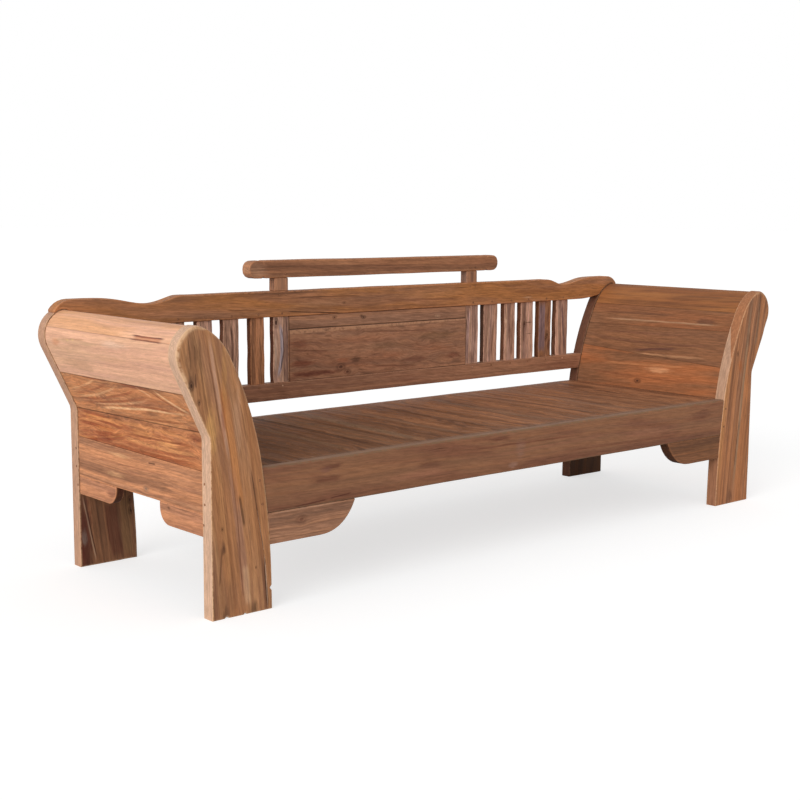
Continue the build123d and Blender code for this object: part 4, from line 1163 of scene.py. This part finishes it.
def finish_for(piece, laid, node=None, shift=0.0):
    """The teak of one piece, laid out from the middle of its node."""
    spec = finish_of(piece)
    spec["seed"] += shift
    marks = SEAT_MARKS if laid == "seat" else MARKS.get(piece, ())
    centre = middle(node or piece)
    if laid == "seat":
        # painted shade: the seat's tone steps darker towards the left arm
        share = smooth(centre[0], *SEAT_SPAN)
        tone = wood_tone(SEAT_PAINTED_SHADE + (SEAT_UNSHADED - SEAT_PAINTED_SHADE) * share, 0)
    else:
        tone = wood_tone(*WOODS[spec.pop("wood")])
    return teak(piece, laid, centre, tone, marks=marks, **spec)


# ---------------------------------------------------------------- pieces

SIDES = (("left", -1), ("right", 1))


def smooth(value, low, high):
    t = min(1.0, max(0.0, (value - low) / (high - low)))
    return t * t * (3 - 2 * t)


def notched(loop, place, half, depth):
    """The outline with a small V cut into the edge nearest to a place."""
    def gap(i):
        a, b = loop[i - 1], loop[i]
        f = max(0.0, min(1.0, (place - a).dot(b - a) / (b - a).length_squared))
        return (a + (b - a) * f - place).length

    at = min(range(len(loop)), key=gap)
    a, b = loop[at - 1], loop[at]
    way = (b - a).normalized()
    foot = a + way * max(0.0, min((b - a).length, (place - a).dot(way)))
    into = Vector((-way.y, way.x))
    points = [foot - way * half, foot + into * depth, foot + way * half]
    kept = [p for p in loop if abs((p - foot).dot(way)) > half * 1.2 or (p - foot).length > 0.03]
    where = kept.index(next(p for p in loop[at:] + loop[:at] if p in kept))
    return kept[:where] + points + kept[where:]


# Cracks of each piece in millimetres: two points in X and Z, width and depth
CRACKS = {
    "leg_front_left": [((-1108, 300), (-1082, 150), 1.6, 3), ((-1084, 165), (-1073, 6), 5.0, 6)],
    "leg_front_right": [((1186, 320), (1168, 150), 1.8, 3)],
    "leg_back_left": [((-1080, 182), (-1070, 148), 2.0, 3)],
    "crest_rail": [((-450, 779), (-330, 771), 2.0, 3), ((-330, 771), (-180, 762), 2.0, 3)],
    "slat_right_3": [((766, 692), (761, 645), 2.2, 3), ((761, 645), (763, 598), 1.8, 3)],
    "stile_left": [((-453, 640), (-470, 560), 1.6, 3)],
}


FOOT_CHIPS = (((-1.212, 0), 0.008), ((-1.15, 0), 0.006), ((-1.066, 0.062), 0.008))    # place, half width
HEAD_CENTRE = (1.28, 0.742)


def cracked(bm, node):
    """Opens the cracks that a piece has."""
    for opening in CRACKS.get(node, ()):
        crack(bm, *opening)


def make_legs():
    for depth, front, back in (("front", FRONT, ARM_FRONT), ("back", ARM_BACK, BACK)):
        for word, side in SIDES:
            node = f"leg_{depth}_{word}"
            cut = FRONT + HAIR if depth == "front" else BACK - HAIR
            loop, _ = corners_kept(outline_of(node, cut), 0.012)
            if node == "leg_front_left":
                for place, size in FOOT_CHIPS:
                    loop = notched(loop, Vector(place), size, size * 0.8)
            head = Vector((side * HEAD_CENTRE[0], HEAD_CENTRE[1]))

            def ease(p, side=side, depth=depth, head=head):
                way = (p - head).normalized()
                outward = smooth(way.dot(Vector((side * 0.94, 0.34))), 0.0, 0.5)
                broad = smooth(p.y, 0.53, 0.64) * outward * (depth == "front")
                return 0.0025 + 0.0075 * broad, 0.0025 + 0.0055 * broad

            if depth == "front":
                bm = worked_plank(loop, front, back, ease)
            else:
                bm = worked_plank(loop, back, front, ease)
            ruled(bm, (0.03, 0, 0.03))
            cracked(bm, node)
            hand_worked(bm, finish_of(node)["seed"], 0.0005, 0.001, along=2)
            finished(node, bm, finish_for(node, "leg"), [node], "leg")


def make_arm_boards():
    kinds = (
        "arm_scroll_top", "arm_scroll_side", "arm_outer_board_upper", "arm_outer_board_lower",
        "arm_inner_board_upper", "arm_inner_board_middle", "arm_inner_board_lower",
    )
    for kind in kinds:
        for word, side in SIDES:
            node = f"{kind}_{word}"
            front, counts = corners_kept(outline_of(node, ARM_FRONT + HAIR), 0.012)
            back, _ = corners_kept(outline_of(node, ARM_BACK - HAIR), 0.012, counts)
            bm = between(front, ARM_FRONT, back, ARM_BACK)
            mark = {"scroll": -0.3, "outer": -0.8, "inner": -0.22}[kind.split("_")[1]]
            ease_edges(bm, 0.0012, segments=3, rim=0.0015, mark=mark)
            ruled(bm, (0, 0.03, 0))
            hand_worked(bm, finish_of(node)["seed"] + side, 0.0004, 0.0004, along=1)
            finished(node, bm, finish_for(node, "arm", shift=side), [node], "arm")


def make_side_timbers():
    for word, side in SIDES:
        node = f"side_rail_{word}"
        low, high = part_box(node)
        bm = squared((low.x, ARM_FRONT, low.z), (high.x, ARM_BACK, high.z))
        ease_edges(bm, 0.002)
        ruled(bm, (0, 0.03, 0.03))
        for v in bm.verts:
            fall = 0.008 * (ARM_BACK - v.co.y) / (ARM_BACK - ARM_FRONT)
            v.co.z -= fall * (v.co.z - low.z) / (high.z - low.z)
        hand_worked(bm, finish_of(node)["seed"] + side, 0.0004, 0.0006, along=1)
        finished(node, bm, finish_for(node, "arm", shift=side), [node], "arm")
        for place in ("front", "back"):
            node = f"side_bracket_{place}_{word}"
            bm = merged(node)
            for depth, way in ((ARM_FRONT, -1), (ARM_BACK, 1)):
                bmesh.ops.bisect_plane(
                    bm, geom=everything(bm), plane_co=(0, depth, 0), plane_no=(0, way, 0),
                    dist=1e-6, clear_outer=True,
                )
            bmesh.ops.holes_fill(bm, edges=bm.edges)
            bmesh.ops.dissolve_limit(
                bm, angle_limit=math.radians(1), verts=bm.verts, edges=bm.edges
            )
            bmesh.ops.recalc_face_normals(bm, faces=bm.faces)
            ease_edges(bm, 0.002)
            ruled(bm, (0, 0.02, 0.02))
            hand_worked(bm, finish_of(node)["seed"] + side, 0.0004, 0.001, along=1)
            finished(node, bm, finish_for(node, "arm", shift=side), [node], "arm")


def make_seat_rails():
    """Front and back rails of the seat, rebated for the boards and scribed to the legs."""
    for node, side in (("front_rail", -1), ("back_seat_rail", 1)):
        low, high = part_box(node)
        face, inner = (low.y, high.y) if side < 0 else (high.y, low.y)
        step = inner + side * 0.012
        bottom, ledge, top = low.z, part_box("seat_boards_1")[0].z, high.z
        rounding = 0.007
        section = [(face, bottom), (face, top - rounding - 0.004)]
        for i in range(7):
            a = math.radians(15 * i)
            section.append((
                face - side * rounding * (1 - math.cos(a)), top - rounding * (1 - math.sin(a))
            ))
        section += [(face - side * (rounding + 0.003), top), (step, top)]
        section += [(step, ledge), (inner, ledge), (inner, bottom)]
        edge = [p for p in outline_of(node, face - side * HAIR) if p.x > 0]
        low_x = max(p.x for p in edge if p.y < bottom + HAIR)
        high_x = max(p.x for p in edge if p.y > top - HAIR)

        def ring(way):
            slope = (high_x - low_x) / (top - bottom)
            return [Vector((way * (low_x + slope * (z - bottom)), y, z)) for y, z in section]

        bm = drawn(ring(-1), ring(1))
        ease_edges(bm, 0.002)
        worn = bm.verts.layers.float["worn"]
        for v in bm.verts:
            down, back = top - v.co.z, abs(face) - abs(v.co.y)
            if 1e-4 < down < rounding - 1e-4 and 1e-4 < back < rounding - 1e-4:
                v[worn] = 1.0
        ruled(bm, (0.03, 0, 0.03))
        hand_worked(bm, finish_of(node)["seed"], 0.0006, 0.0014, along=0)
        finished(node, bm, finish_for(node, "rail"), [node], "rail")


SWELL_TOP = 0.853          # the crest's top edge, but for its falling ends


def sag(bm, above, reach, depth):
    """Lets the top edge hang a little between two places the same reach from the middle."""
    for v in bm.verts:
        if v.co.z > above and abs(v.co.x) < reach:
            v.co.z -= depth * (1 - (v.co.x / reach) ** 2)


def make_long_pieces():
    """Rails and bars sawn from an outline that shows from the front."""
    for node, slot, arris, rough in (
        ("lower_back_rail", "back_rail_teak", 0.0022, 0.001),
        ("crest_rail", "crest_teak", 0.003, 0.0016),
        ("headrest_bar", "headrest_teak", 0.004, 0.0018),
        ("front_bracket_left", "bracket_teak", 0.0025, 0.001),
        ("front_bracket_right", "bracket_teak", 0.0025, 0.001),
    ):
        front, back = (corner.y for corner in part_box(node))
        cut = back - HAIR if front > 0 else front + HAIR
        loop, _ = corners_kept(outline_of(node, cut), 0.014)
        if node == "headrest_bar":
            for x in (-0.538, 0.538):
                for z in (BAR_FOOT, BAR_TOP):
                    loop = notched(loop, Vector((x, z)), 0.007, 0.006)
        bm = between(loop, front, loop, back)
        if node == "crest_rail":
            sag(bm, SWELL_TOP, 0.88, 0.005)
        ease_edges(bm, arris)
        ruled(bm, (0.03, 0, 0.02))
        cracked(bm, node)
        hand_worked(bm, finish_of(node)["seed"], 0.0006, rough, along=0)
        finished(node, bm, finish_for(node, "rail"), [node], "rail")


def weathered(bm, seed, ridge, sway):
    """Ridges along the grain of the broad faces, and edges that wander."""
    low = min(v.co.x for v in bm.verts)
    high = max(v.co.x for v in bm.verts)
    mid_y = sum(v.co.y for v in bm.verts) / len(bm.verts)
    for v in bm.verts:
        u = (2 * v.co.x - low - high) / (high - low)
        n = noise.noise(Vector((v.co.x * 150 + seed, v.co.z * 8, seed)))
        if abs(u) < 0.93:
            v.co.y += ridge * n * (1 if v.co.y > mid_y else -1)
        wander = noise.noise(Vector((seed + (7 if u > 0 else 0), v.co.z * 13, 2.0)))
        v.co.x += sway * wander * abs(u) ** 3


def make_uprights():
    nodes = ["stile_left", "stile_right"]
    nodes += [f"slat_{word}_{n}" for word, _ in SIDES for n in range(1, 6)]
    for count, node in enumerate(nodes):
        low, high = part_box(node)
        bm = squared((low.x, low.y, SLAT_FOOT), (high.x, high.y, SLAT_HEAD))
        ease_edges(bm, 0.0018, segments=3)
        ruled(bm, (0.0065, 0, 0.012))
        cracked(bm, node)
        hand_worked(bm, 30.0 + count, 0.0008, 0.0008, scale=16.0, along=2)
        weathered(bm, 30.0 + count, 0.0012, 0.0035)
        finished(node, bm, finish_for(node, "leg", shift=count * 1.7), [node], "leg")
    for word, side in SIDES:
        node = f"headrest_post_{word}"
        low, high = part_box(node)
        bm = squared((low.x, low.y, CREST_TOP), (high.x, high.y, BAR_FOOT))
        ease_edges(bm, 0.0025, segments=3)
        ruled(bm, (0.02, 0, 0.012))
        hand_worked(bm, finish_of(node)["seed"] + side, 0.0006, 0.0012, scale=16.0, along=2)
        finished(node, bm, finish_for(node, "leg", shift=side), [node], "leg")


def make_panel():
    low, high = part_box("back_panel_upper")
    upper = squared((-PANEL_END, low.y, low.z + 0.0005), (PANEL_END, high.y, SLAT_HEAD))
    low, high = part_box("back_panel_lower")
    top = high.z

    def ring(x, lip):
        section = [
            (low.y, SLAT_FOOT), (low.y, top - 0.003 - lip), (low.y, top - lip), (low.y + 0.0022, top),
            (high.y, top), (high.y, SLAT_FOOT),
        ]
        return [Vector((x, y, z)) for y, z in section]

    lower = drawn(ring(-PANEL_END, 0.016), ring(PANEL_END, 0.006))
    for node, bm in (("back_panel_upper", upper), ("back_panel_lower", lower)):
        ease_edges(bm, 0.0009, segments=3, rim=0.002, mark=-1.0)
        worn = bm.verts.layers.float["worn"]
        for v in bm.verts:
            lip = 0.011 - 0.005 * v.co.x / PANEL_END
            if bm is lower and v.co.y < low.y + 0.0024 and abs(v.co.x) < PANEL_END - HAIR:
                v[worn] = 1.0 if v.co.z > top - 0.0015 - lip else 0.0
                if v.co.z < SLAT_FOOT + 0.001:
                    v[worn] = -0.6
        ruled(bm, (0.03, 0, 0.02))
        hand_worked(bm, finish_of(node)["seed"], 0.0005, 0.0003, along=0)
        finished(node, bm, finish_for(node, "rail"), [node], "rail")


def make_seat():
    for number in range(1, 7):
        node = f"seat_boards_{number}"
        whole = merged(node)
        bmesh.ops.dissolve_limit(
            whole, angle_limit=math.radians(1), verts=whole.verts, edges=whole.edges
        )
        boards = sorted(islands(whole), key=lambda board: min(v.co.x for v in board))
        for place, board in enumerate(boards):
            bm = whole.copy()
            bm.verts.ensure_lookup_table()
            keep = {v.index for v in board}
            bmesh.ops.delete(bm, geom=[v for v in bm.verts if v.index not in keep], context="VERTS")
            ease_edges(bm, 0.0014, segments=3, rim=0.002, mark=-0.25)
            ruled(bm, (0.03, 0.03, 0))
            count = 2 * number + place
            hand_worked(bm, finish_of(node)["seed"] + count, 0.0006, 0.0006, along=1)
            piece = f"{node}{'ab'[place]}"
            material = finish_for(piece, "seat", node, shift=count * 2.3)
            finished(piece, bm, material, [node], "seat")
        whole.free()


def make_pegs():
    """The wooden pegs, slightly proud and domed, each in a dark ring."""
    whole = merged("tenon_pegs")
    places = []
    for peg in islands(whole):
        low = Vector(min(v.co[i] for v in peg) for i in range(3))
        high = Vector(max(v.co[i] for v in peg) for i in range(3))
        centre, size = (low + high) / 2, high - low
        axis = max(range(3), key=lambda i: size[i])
        sign = -1 if low[axis] < 0.36 else 1
        end = centre.copy()
        end[axis] = (high if sign > 0 else low)[axis]
        way = Vector()
        way[axis] = sign
        places.append((end, way))
    whole.free()
    profile = (    # radius and height in millimetres, and the wear: a dark ring, then the peg
        (3.7, -2.0, -1), (3.7, 0.15, -1), (3.05, 0.2, -1), (3.0, 0.5, 0), (2.3, 0.9, 0), (1.0, 1.1, 0),
    )
    for piece, pale in (("pegs_dark", False), ("pegs_pale", True)):
        bm = bmesh.new()
        worn = bm.verts.layers.float.new("worn")
        for end, way in places:
            seen = abs(end.z - 0.519) < 0.004 and (abs(abs(end.x) - 0.464) < 0.01 or end.x > 0.95)
            if seen != pale:
                continue
            turn = way.to_track_quat("Z", "Y").to_matrix()
            rows = []
            for radius, height, value in profile:
                row = []
                for i in range(18):
                    a = math.tau * i / 18
                    p = Vector((radius * math.cos(a), radius * math.sin(a), height)) / 1000
                    v = bm.verts.new(end + turn @ p)
                    v[worn] = value
                    row.append(v)
                rows.append(row)
            for a, b in zip(rows, rows[1:]):
                for i in range(18):
                    bm.faces.new((a[i - 1], a[i], b[i], b[i - 1]))
            bm.faces.new(rows[-1])
        bmesh.ops.recalc_face_normals(bm, faces=bm.faces)
        material = finish_for(piece, "leg", "tenon_pegs")
        finished(piece, bm, material, ["tenon_pegs"], "leg")


def dress_hidden_frame():
    for node in ("seat_bearer", "cross_stretcher_left", "cross_stretcher_right",
                 "seat_end_rail_left", "seat_end_rail_right"):
        laid = "rail" if node == "seat_bearer" else "seat"
        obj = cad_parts[node]
        obj.data.materials.clear()
        obj.data.materials.append(teak(node, laid, middle(node), HIDDEN_TEAK, **FINISHES["frame"]))


make_legs()
make_arm_boards()
make_side_timbers()
make_seat_rails()
make_long_pieces()
make_uprights()
make_panel()
make_seat()
make_pegs()
dress_hidden_frame()

# ---------------------------------------------------------------- studio


def make_studio():
    world = bpy.data.worlds.new("studio")
    bpy.context.scene.world = world
    world.use_nodes = True
    t = Tree(world.node_tree)
    back = world.node_tree.nodes["Background"]
    path = t.add("ShaderNodeLightPath")
    seen = t.math("MAXIMUM", path.outputs["Is Camera Ray"], path.outputs["Is Glossy Ray"])
    seen = t.math("MAXIMUM", seen, path.outputs["Is Transmission Ray"])
    back.inputs["Color"].default_value = (1, 1, 1, 1)
    t.feed(back.inputs["Strength"], t.math("MULTIPLY_ADD", seen, 0.5, 0.5))

    bm = bmesh.new()
    bmesh.ops.create_grid(bm, x_segments=1, y_segments=1, size=60)
    mesh = bpy.data.meshes.new("floor")
    bm.to_mesh(mesh)
    bm.free()
    floor = bpy.data.objects.new("floor", mesh)
    bpy.context.scene.collection.objects.link(floor)
    paint = bpy.data.materials.new("floor_paint")
    paint.use_nodes = True
    t = Tree(paint.node_tree)
    shader = paint.node_tree.nodes["Principled BSDF"]
    path = t.add("ShaderNodeLightPath")
    seen = path.outputs["Is Camera Ray"]
    t.feed(shader.inputs["Base Color"], t.grey(t.math("MULTIPLY_ADD", seen, -0.2, 0.75)))
    shader.inputs["Emission Color"].default_value = (1, 1, 1, 1)
    t.feed(shader.inputs["Emission Strength"], t.times(seen, 0.64))
    shader.inputs["Roughness"].default_value = 1.0
    shader.inputs["Specular IOR Level"].default_value = 0.0
    mesh.materials.append(paint)

    lamp = bpy.data.lights.new("window", "SUN")
    lamp.energy = 2.2
    lamp.angle = math.radians(45)
    obj = bpy.data.objects.new("window", lamp)
    obj.rotation_euler = Vector((-0.87, -0.38, 0.32)).to_track_quat("Z", "Y").to_euler()
    bpy.context.scene.collection.objects.link(obj)


EYE = Vector((-3.28075, -3.49089, 1.14130))
YAW, PITCH, ROLL = 0.719, 0.1403, 0.0061    # radians: right of +Y, down, and tilted
LENS = 61.34


def make_camera():
    yaw, pitch, roll = YAW, PITCH, ROLL
    ahead = Vector((math.sin(yaw) * math.cos(pitch), math.cos(yaw) * math.cos(pitch), -math.sin(pitch)))
    level = Vector((math.cos(yaw), -math.sin(yaw), 0))
    up = level.cross(ahead)
    right = math.cos(roll) * level + math.sin(roll) * up
    up = -math.sin(roll) * level + math.cos(roll) * up
    data = bpy.data.cameras.new("camera")
    data.sensor_width = 36
    data.lens = LENS
    camera = bpy.data.objects.new("camera", data)
    camera.matrix_world = Matrix((
        (right.x, up.x, -ahead.x, EYE.x),
        (right.y, up.y, -ahead.y, EYE.y),
        (right.z, up.z, -ahead.z, EYE.z),
        (0, 0, 0, 1),
    ))
    bpy.context.scene.collection.objects.link(camera)
    bpy.context.scene.camera = camera


make_studio()
make_camera()
bpy.context.scene.view_settings.view_transform = "Standard"
